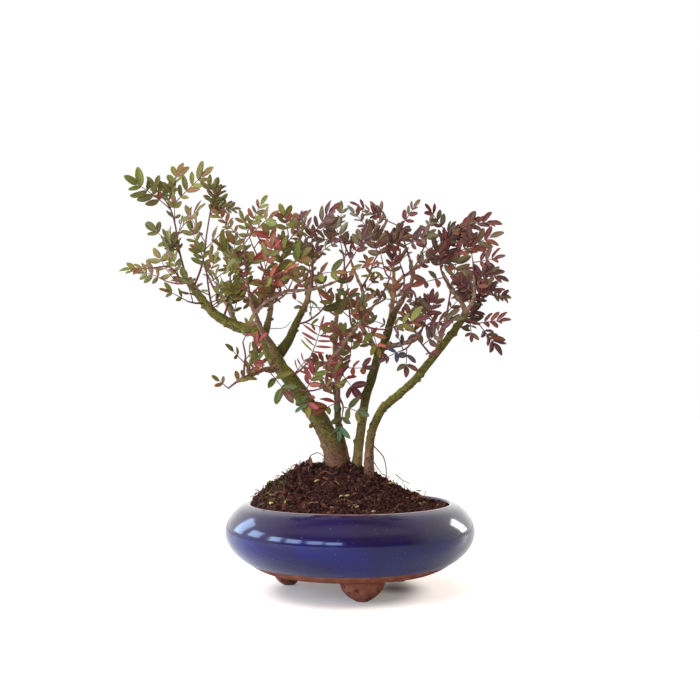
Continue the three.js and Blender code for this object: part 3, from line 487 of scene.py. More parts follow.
def strewn(name, share_at, shape, finish, sizes, tilt):
    """Bits strewn over the soil's top, more of them where share_at of x and y is high. shape adds
    one bit's nodes to the bench."""
    bench, given = tree_of(name, BIT_INPUTS)
    density = given["Per square metre"] * named(bench, "strewn")
    sockets = {"Mesh": given["Geometry"], "Density": density, "Seed": given["Seed"]}
    spots = bench.make("GeometryNodeDistributePointsOnFaces", (), sockets)
    spin = draw_between(bench, (-tilt, -tilt, -3.14), (tilt, tilt, 3.14), seed=5)
    spin = bench.make("FunctionNodeEulerToRotation", (), {0: spin})
    sockets = {0: spots.beside("Rotation"), 1: spin}
    turn = bench.make("FunctionNodeRotateRotation", {"rotation_space": "LOCAL"}, sockets)
    size = draw_between(bench, 0.0, 1.0, seed=7) ** SMALL_BITS
    size = given["Smallest"] + size * (given["Largest"] - given["Smallest"])
    stretch = bench.vector("SCALE", draw_between(bench, *BIT_STRETCH, seed=11), size)
    sockets = {"Points": spots, "Instance": shape(bench), "Rotation": turn, "Scale": stretch}
    bits = bench.make("GeometryNodeInstanceOnPoints", (), sockets)
    settings = {"data_type": "FLOAT", "domain": "INSTANCE"}
    sockets = {0: bits, 2: "tint", 3: draw_between(bench, 0.0, 1.0, seed=3)}
    bits = bench.make("GeometryNodeStoreNamedAttribute", settings, sockets)
    plain = bench.make("GeometryNodeRealizeInstances", (), {0: bits})
    where = bench.make("GeometryNodeInputPosition")
    rough = bench.make("ShaderNodeTexNoise", (), {"Vector": where, "Scale": 620.0, "Detail": 1.0}, 1)
    rough = bench.vector("SCALE", bench.vector("SUBTRACT", rough, (0.5, 0.5, 0.5)), given["Ragged"])
    finish_tree(bench, bench.make("GeometryNodeSetPosition", (), {0: plain, 3: rough}), finish)
    # the soil's top alone, without the fans that would close it
    points, faces = shell(top_rings)
    piece = placed(name, points[:-2], faces[: -2 * SOIL_SIDES])
    carry(piece.data, "strewn", [share_at(x, y) for x, y, _ in points[:-2]])
    grown(piece, bench, dict(zip(BIT_INPUTS, sizes)))
    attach(piece, "root")


def clod(bench):
    return bench.make("GeometryNodeMeshIcoSphere", (), {"Radius": 1.0, "Subdivisions": 1})


def flake(bench):
    ball = bench.make("GeometryNodeMeshIcoSphere", (), {"Radius": 1.0, "Subdivisions": 2})
    return bench.make("GeometryNodeTransform", (), {0: ball, "Scale": (1.5, 0.75, 0.35)})


def thread(bench):
    """A thin curved strand one unit long."""
    sockets = {"Resolution": 6, "Start": (-0.5, 0, 0), "Start Handle": (-0.2, 0.35, 0.1)}
    sockets.update({"End Handle": (0.2, -0.3, 0.32), "End": (0.5, 0.1, 0.04)})
    line = bench.make("GeometryNodeCurvePrimitiveBezierSegment", {"mode": "POSITION"}, sockets)
    round_wire = bench.make("GeometryNodeCurvePrimitiveCircle", (), {"Resolution": 3, "Radius": 0.026})
    sockets = {"Curve": line, "Profile Curve": round_wire, "Fill Caps": True}
    return bench.make("GeometryNodeCurveToMesh", (), sockets)


def bits_finish(name, first, second, third, size):
    """A finish for strewn bits, coloured bit by bit."""
    finish = Finish(name)
    tint, speck = finish.carried("tint"), finish.mottle(size, 4, 0.7)
    colour = finish.blend(finish.step(tint, 0.3, 0.5), first, second)
    colour = finish.blend(finish.step(tint, 0.84, 0.92), colour, third)
    colour = finish.blend(finish.step(speck, 0.35, 0.7) * 0.6, colour, DARK_PEAT)
    finish.shade(colour, 0.9, finish.relief(speck, 0.3), **DULL)
    return finish


def near_rim(x, y):
    """Fewer bits lie by the rim, but on the left, where the soil spills on to it."""
    return 0.35 if math.hypot(x, y) > 80 and x > -66 else 1.0


def on_left_slope(x, y):
    """Thickest low on the left, as moss grows there."""
    away = math.hypot((x + 62) / 16, (y + 22) / 26)
    return max(0, 1 - away) * (0.5 + noise.noise(Vector((x, y, 0)) / 5))


strewn(
    "soil_crumbs", near_rim, clod, bits_finish("peat_crumbs", DARK_PEAT, PEAT, RUSTY_PEAT, 0.9),
    (320000.0, 0.0005, 0.0024, 0.0036, 4), 1.4,
)
strewn(
    "soil_fibres", near_rim, thread,
    bits_finish("peat_fibres", PEAT, paint(92, 56, 46), paint(150, 108, 80), 2),
    (130000.0, 0.003, 0.014, 0.002, 9), 1.1,
)
strewn(
    "bark_chips", near_rim, flake,
    bits_finish("bark_and_straw", paint(120, 80, 56), paint(164, 134, 84), paint(186, 176, 104), 1.5),
    (7000.0, 0.0007, 0.0036, 0.0007, 21), 0.5,
)
strewn(
    "moss", on_left_slope, clod, bits_finish("moss_green", MOSS, MOSS_SHADE, MOSS, 0.6),
    (900000.0, 0.0007, 0.0019, 0.0012, 2), 1.0,
)

# The pale chips
# The larger chips of split bark that show in front, half sunk in the soil. Rows: x, y, length,
# width, bearing and tint.
PALE_CHIPS = [
    (-2.4, -47.2, 4.6, 2.2, -20, 0.95), (-7.3, -44.8, 3.6, 2.6, 30, 0.7), (26.9, -37.3, 3.4, 3, 60, 0.7),
    (18.3, -60.5, 3.8, 2.6, 10, 0.6), (-27.2, -25.6, 4.4, 2.6, 5, 0.45), (-63.8, -47.3, 3.6, 2.6, 0, 0.95),
    (-61.3, -22.1, 5.8, 1.8, 55, 0.95), (-18.3, -60.7, 3.2, 2, 20, 0.6), (56.5, -18.9, 5, 2, -25, 0.95),
    (73.1, 26.9, 3.2, 2.6, 0, 0.2), (-41.1, -31, 3, 2.2, 0, 0.3), (36.4, -46.1, 2.8, 2, 40, 0.45),
    (-30.8, -42.5, 2.6, 2, 10, 0.2), (1.7, -23, 2.8, 2, -30, 0.3), (-71.7, -38.9, 2.6, 1.8, 0, 0.95),
]


def ball(radius, rounds, place):
    """A ball with each corner moved by place, as corners and faces."""
    mesh = bmesh.new()
    bmesh.ops.create_icosphere(mesh, subdivisions=rounds, radius=radius)
    points = [place(v.co) for v in mesh.verts]
    faces = [tuple(v.index for v in face.verts) for face in mesh.faces]
    mesh.free()
    return points, faces


def pale_chip(x, y, length, wide, bearing, _):
    """A split chip of bark, lying half sunk in the soil."""
    c, s = heading(bearing)

    def place(co):
        rough = 1 + 0.5 * noise.noise(co * 3 + Vector((x, y, 0)))
        u, w, t = co.x * length * rough, co.y * wide * rough, co.z * wide * 0.8
        return x + u * c - w * s, y + u * s + w * c, soil_spot(x, y, 1) + 0.5 + t + u * 0.2

    return ball(0.5, 3, place)


pale_chips = placed("pale_chips", *joined([pale_chip(*row) for row in PALE_CHIPS]))
each = len(pale_chips.data.vertices) // len(PALE_CHIPS)
carry(pale_chips.data, "tint", np.repeat([row[5] for row in PALE_CHIPS], each))
chip_bark = bits_finish("split_bark", paint(150, 104, 74), paint(204, 172, 122), paint(190, 182, 96), 1.5)
chip_bark.dress(pale_chips)
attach(pale_chips, "root")

# The tree
# One plant whose trunks all rise from a root crown under the soil. The bark is thin, brown at
# the foot, with green algae further up, and smooth and pinkish on the young wood. Old leaf and
# branch scars make small knobs. Rows: x, y, z on the limb's middle line, and its radius.
ROOT_CROWN = [
    (-27, 2, 87, 4), (-21, 2, 86, 9), (-9, 2, 86, 12), (5, 1, 85, 11), (17, -3, 84, 7.5),
    (25, -5, 83, 3.5),
]
LIMBS = {
    "left_trunk": [
        (-12, 2, 93, 9.6), (-12, 0, 104, 8.9), (-17, -2, 126, 8.2), (-26, -4, 143, 7.4),
        (-38, -6, 160, 6.9), (-50, -7, 177, 6.5), (-63, -8, 193, 6.3), (-69, -8, 205, 5.9),
        (-80, -8, 218, 5.2), (-93, -6, 221, 4.7), (-106, -4, 227, 4.3), (-115, -3, 233, 4),
        (-124, -1, 243, 3.6), (-131, 0, 252, 3.3), (-137, 1, 259, 2.7),
    ],
    "left_back_limb": [
        (-61, -6, 197, 5), (-52, 0, 210, 4), (-47, 8, 223, 3.2), (-42, 16, 234, 2.8),
        (-38, 24, 244, 2.2), (-36, 30, 254, 1.8), (-33, 38, 271, 1.4),
    ],
    "left_front_limb": [
        (-55, -8, 188, 3.2), (-64, -17, 203, 2.6), (-72, -23, 216, 2.3), (-77, -29, 228, 2),
        (-79, -32, 234, 1.8), (-82, -38, 247, 1.5), (-84, -42, 261, 1.2),
    ],
    "left_dark_limb": [
        (-74, -6, 210, 3.6), (-71, 2, 219, 3), (-70, 14, 228, 2.6), (-69, 28, 239, 2.3),
        (-70, 40, 252, 1.9), (-75, 50, 269, 1.5),
    ],
    "long_red_twig": [
        (-78, -31, 232, 1.6), (-69, -37, 240, 1.4), (-59, -41, 245, 1.3), (-50, -43, 249, 1.2),
        (-32, -46, 250, 1.2), (-20, -48, 253, 1.1), (-10, -50, 257, 1),
    ],
    "golden_stub": [
        (-59, -8, 185, 2.6), (-66, -16, 186, 2.2), (-73, -22, 185, 1.9), (-82, -30, 180, 1.7),
        (-88, -34, 178, 1.5), (-93, -38, 175, 1.3),
    ],
    "left_rear_shoot": [
        (-96, -5, 222, 3), (-102, 16, 233, 2.2), (-111, 38, 247, 1.8), (-122, 56, 258, 1.4),
    ],
    "middle_trunk": [
        (-1, 6, 93, 3.6), (-3, 8, 108, 3.3), (-7, 12, 125, 3.1), (-10, 15, 138, 3),
        (-11, 19, 157, 2.8), (-11, 24, 176, 2.7), (-12, 27, 189, 2.5), (-13, 30, 202, 2.3),
        (-13, 34, 216, 2.1), (-12, 38, 229, 1.9), (-10, 46, 247, 1.6), (-7, 56, 264, 1.3),
    ],
    "middle_front_shoot": [
        (-11, 18, 153, 2), (-10, 8, 164, 1.9), (-11, 0, 172, 1.8), (-13, -8, 181, 1.7),
        (-17, -12, 188, 1.7), (-14, -15, 196, 1.6), (-7, -19, 204, 1.5), (0, -24, 214, 1.4),
        (7, -28, 222, 1.3), (15, -34, 233, 1.2), (24, -38, 242, 1),
    ],
    "right_inner_trunk": [
        (6, 4, 91, 4.8), (6, 4, 106, 4.5), (8, 6, 125, 4.1), (10, 8, 138, 3.9), (13, 12, 159, 3.8),
        (19, 16, 179, 3.8), (25, 18, 199, 3.9), (29, 18, 207, 3.6), (33, 16, 218, 3.3),
        (35, 14, 228, 3), (38, 12, 234, 2.8), (43, 8, 242, 2.3), (48, 4, 251, 2), (52, 0, 259, 1.8),
        (53, -4, 268, 1.6), (50, -8, 279, 1.3),
    ],
    "inner_left_fork": [
        (25, 18, 198, 2.8), (20, 24, 207, 2.3), (15, 30, 215, 2.2), (11, 35, 222, 2.1),
        (10, 40, 233, 1.9), (11, 44, 245, 1.7), (11, 47, 256, 1.5), (6, 50, 268, 1.3),
        (0, 53, 285, 1.1),
    ],
    "inner_rear_fork": [
        (35, 14, 230, 2.2), (37, 20, 246, 1.9), (38, 26, 259, 1.7), (38, 32, 272, 1.4),
        (36, 36, 286, 1.1),
    ],
    "inner_right_shoot": [
        (38, 26, 258, 1.5), (45, 22, 265, 1.4), (53, 18, 270, 1.3), (62, 15, 277, 1.2),
        (71, 12, 284, 1.1),
    ],
    "dark_low_limb": [
        (28, 18, 204, 3), (38, 8, 206, 2.3), (46, -4, 208, 2), (54, -14, 210, 1.7),
        (59, -22, 217, 1.4),
    ],
    "right_outer_trunk": [
        (15, -4, 89, 4.9), (16, -6, 101, 4.4), (16, -7, 113, 4.1), (17, -8, 126, 3.7),
        (19, -9, 135, 3.6), (26, -11, 151, 3.5), (32, -12, 157, 3.5), (39, -14, 163, 3.4),
        (47, -15, 170, 3.3), (55, -17, 178, 3.3), (68, -20, 194, 3.2), (82, -22, 212, 3),
        (93, -24, 227, 2.8), (97, -24, 236, 2.5),
    ],
    "outer_left_fork": [
        (95, -24, 234, 2.2), (91, -20, 244, 1.9), (84, -14, 253, 1.7), (81, -8, 261, 1.5),
        (77, -4, 269, 1.2),
    ],
    "outer_right_fork": [
        (95, -24, 233, 2.2), (101, -29, 241, 1.8), (102, -34, 252, 1.5), (101, -38, 263, 1.2),
    ],
    "outer_rear_fork": [
        (70, -20, 196, 2.6), (75, 0, 205, 2), (81, 24, 220, 1.7), (86, 44, 236, 1.4),
    ],
}
LIMB_SIDES, LIMB_STEP, VOXEL, LIMB_SEED = 26, 1.1, 0.73, 300
# how far the bark swells, as a share of the radius, and the spacing and width of its knobs
SWELL, KNOB_EVERY, KNOB_ROUND, KNOB_ALONG = 0.13, 4.6, 1.3, 1.2
# limbs whose bark is painted darker higher up, as painted shade, and lighter low down, as painted light
PAINTED_SHADE_LIMBS = {"right_inner_trunk": 1.0, "left_dark_limb": 0.9, "left_back_limb": 0.8, "dark_low_limb": 0.7}
# trunk scars seen in the photograph: x, y, z and radius of the knob
SCARS = [
    (-55, -10, 169, 3.4), (-44, -8, 157, 2.2), (-33, -8, 138, 2.0), (-134, -2, 257, 3.0),
    (-66, -12, 192, 3.0), (20, -11, 131, 2.0), (15, 4, 170, 2.2), (60, -20, 181, 2.2),
    (26, 14, 206, 2.6), (86, -25, 218, 2.0),
]


def draws(seed):
    """A seeded row of numbers from 0 to 1."""
    state = (seed * 7919 + 104729) % 4294967296
    while True:
        state = (state * 1664525 + 1013904223) % 4294967296
        yield state / 4294967296


def unit(v):
    return v / np.linalg.norm(v)


def across(a, t):
    """The direction nearest to a that is square to t."""
    return unit(a - t * np.dot(a, t))


def run_of(rows):
    """The length of the straight runs between rows."""
    return float(np.linalg.norm(np.diff(np.array(rows, float)[:, :3], axis=0), axis=1).sum())


def limb(rows, seed):
    """A limb with its bark's swellings and the knobs of old scars."""
    draw = draws(seed)
    line = smooth_line(rows, max(8, round(run_of(rows) / LIMB_STEP)))
    last = len(line) - 1
    knobs = [
        ((k + next(draw)) * KNOB_EVERY / LIMB_STEP, next(draw) * 2 * math.pi, next(draw))
        for k in range(int(run_of(rows) / KNOB_EVERY))
    ]
    side = np.array([0.0, 1.0, 0.0]) if abs(line[1][2] - line[0][2]) < 1 else np.array([1.0, 0.0, 0.0])
    turn = np.arange(LIMB_SIDES) * 2 * math.pi / LIMB_SIDES
    rings = []
    for k, (x, y, z, r) in enumerate(line):
        t = unit(line[min(k + 1, last)][:3] - line[max(k - 1, 0)][:3])
        side = across(side, t)
        up = np.cross(t, side)
        swell = np.ones(LIMB_SIDES)
        for i, a in enumerate(turn):
            spot = Vector((math.cos(a), math.sin(a), k * LIMB_STEP / max(r, 1.5) / 2))
            swell[i] += SWELL * noise.noise(spot * 1.1 + Vector((seed, 0, 0))) * min(1, r / 4)
        for at, bearing, height in knobs:
            around = (turn - bearing + math.pi) % (2 * math.pi) - math.pi
            spread = (around * r / KNOB_ROUND) ** 2 + ((k - at) * LIMB_STEP / KNOB_ALONG) ** 2
            swell += (0.9 + 2.6 * height**2) / (r + 1.2) * np.exp(-spread)
        end = min(k, last - k) * LIMB_STEP
        reach = (r * swell * math.sqrt(max(0.02, 1 - max(0, 1 - end / r) ** 2)))[:, None]
        ring = np.cos(turn)[:, None] * side + np.sin(turn)[:, None] * up
        rings.append(np.array([x, y, z]) + reach * ring)
    return shell(rings)


shells = [limb(rows, LIMB_SEED + order) for order, rows in enumerate(LIMBS.values())]
shells.append(limb(ROOT_CROWN, LIMB_SEED - 1))
for x, y, z, r in SCARS:
    shells.append(ball(r, 2, lambda co: (co.x + x, co.y + y, co.z * 1.2 + z)))
tree = placed("tree_wood", *joined(shells))
fused = tree.modifiers.new("fused", "REMESH")
fused.mode, fused.voxel_size, fused.use_smooth_shade = "VOXEL", VOXEL * MM, True
evened = tree.modifiers.new("evened", "SMOOTH")
evened.factor, evened.iterations = 0.5, 2
settle(tree)

# each point of the bark takes its girth, which shows its age, and its share of painted shade and light from
# the nearest limb
near = [
    (x, y, z, r, PAINTED_SHADE_LIMBS.get(name, 0))
    for name, rows in LIMBS.items()
    for x, y, z, r in smooth_line(rows, len(rows) * 12 - 1)
]
nearest = kdtree.KDTree(len(near))
for k, row in enumerate(near):
    nearest.insert(row[:3], k)
nearest.balance()
spots = np.empty(len(tree.data.vertices) * 3, np.float32)
tree.data.vertices.foreach_get("co", spots)
near = np.array(near)[[nearest.find(p)[1] for p in (spots.reshape(-1, 3) - POT_AXIS) / MM]]
carry(tree.data, "girth", near[:, 3])
carry(tree.data, "algae", near[:, 4])

BARK_BROWN, BARK_DARK, CREVICE = paint(144, 102, 78), paint(98, 66, 48), paint(52, 40, 24)
ALGAE, ALGAE_DEEP, SHADED_ALGAE = paint(118, 112, 42), paint(84, 74, 28), paint(66, 61, 26)
YOUNG_WOOD, YOUNG_SHADE = paint(166, 125, 102), paint(130, 92, 73)
LICHEN, LIT_ALGAE = paint(170, 150, 96), paint(164, 136, 82)
# heights in metres over which the algae take over, the painted shade sets in and the painted light fades out
GREENING, SHADE_RISE, LIGHT_FADE = (0.106, 0.144), (0.12, 0.17), (0.125, 0.175)

bark = Finish("thin_green_bark")
up = bark.parts(bark.spot)[2]
facing = bark.parts(bark.make("ShaderNodeNewGeometry", out=1))[2]
age, limb_shade = bark.carried("girth"), bark.carried("algae")
patch, fine, grain = bark.mottle(16, 4, 0.6), bark.mottle(1.7, 5, 0.7), bark.mottle(0.7, 3, 0.7)
green = bark.step(up + (patch - 0.5) * 0.06 + facing * 0.012 + limb_shade * 0.012, *GREENING)
mature = bark.blend(bark.step(fine, 0.3, 0.65), BARK_DARK, BARK_BROWN)
mossy = bark.blend(bark.step(fine + patch * 0.3, 0.48, 0.8), ALGAE_DEEP, ALGAE)
# on these limbs the algae are painted darker higher up: painted shade
mossy = bark.blend(limb_shade * bark.step(up, *SHADE_RISE) * (0.55 + patch * 0.4), mossy, SHADED_ALGAE)
colour = bark.blend(green * 0.88 + 0.08, mature, mossy)
# and lighter low down: painted light
colour = bark.blend(limb_shade * (1 - bark.step(up, *LIGHT_FADE)) * 0.5, colour, LIT_ALGAE)
# downward-facing bark is painted darker: painted shade on the limbs' undersides
colour = bark.blend((1 - bark.step(facing, -0.8, 0.1)) * 0.3, colour, BARK_DARK)
young = bark.blend(bark.step(fine, 0.35, 0.65), YOUNG_SHADE, YOUNG_WOOD)
colour = bark.blend((1 - bark.step(age, 1.9, 3.1)) * 0.85, colour, young)
colour = bark.blend((1 - bark.step(grain, 0.3, 0.44)) * 0.55, colour, CREVICE)
colour = bark.blend(bark.step(bark.mottle(1.3, 3), 0.68, 0.74) * 0.4, colour, LICHEN)
# fine cracks run round the limbs
squashed = bark.vector("MULTIPLY", bark.spot, (1, 1, 3.4))
cracked = 1 - bark.step(abs(bark.mottle(5.5, 4, 0.6, spot=squashed) - 0.5), 0.0, 0.028)
colour = bark.blend(cracked * 0.5, colour, CREVICE)
lumps = bark.relief(1 - cracked, 0.25, bark.relief(bark.mottle(5, 3), 0.9))
furrowed = bark.relief(bark.mottle(1.5, 6, 0.75, stretch=0.5), 0.5, lumps)
bark.shade(colour, 0.85, furrowed, **{"Specular IOR Level": 0.2})
bark.dress(tree)
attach(tree, "root")
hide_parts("tree")

# The leafy stems
# Thin reddish twigs, each with a few pinnate leaves: a slender rachis with two to five pairs of
# leathery elliptic leaflets and one at its tip.
STEM_STEP, TWIG_RADII, STALK_RADII = 2.5, (1.0, 0.62), (0.52, 0.3)
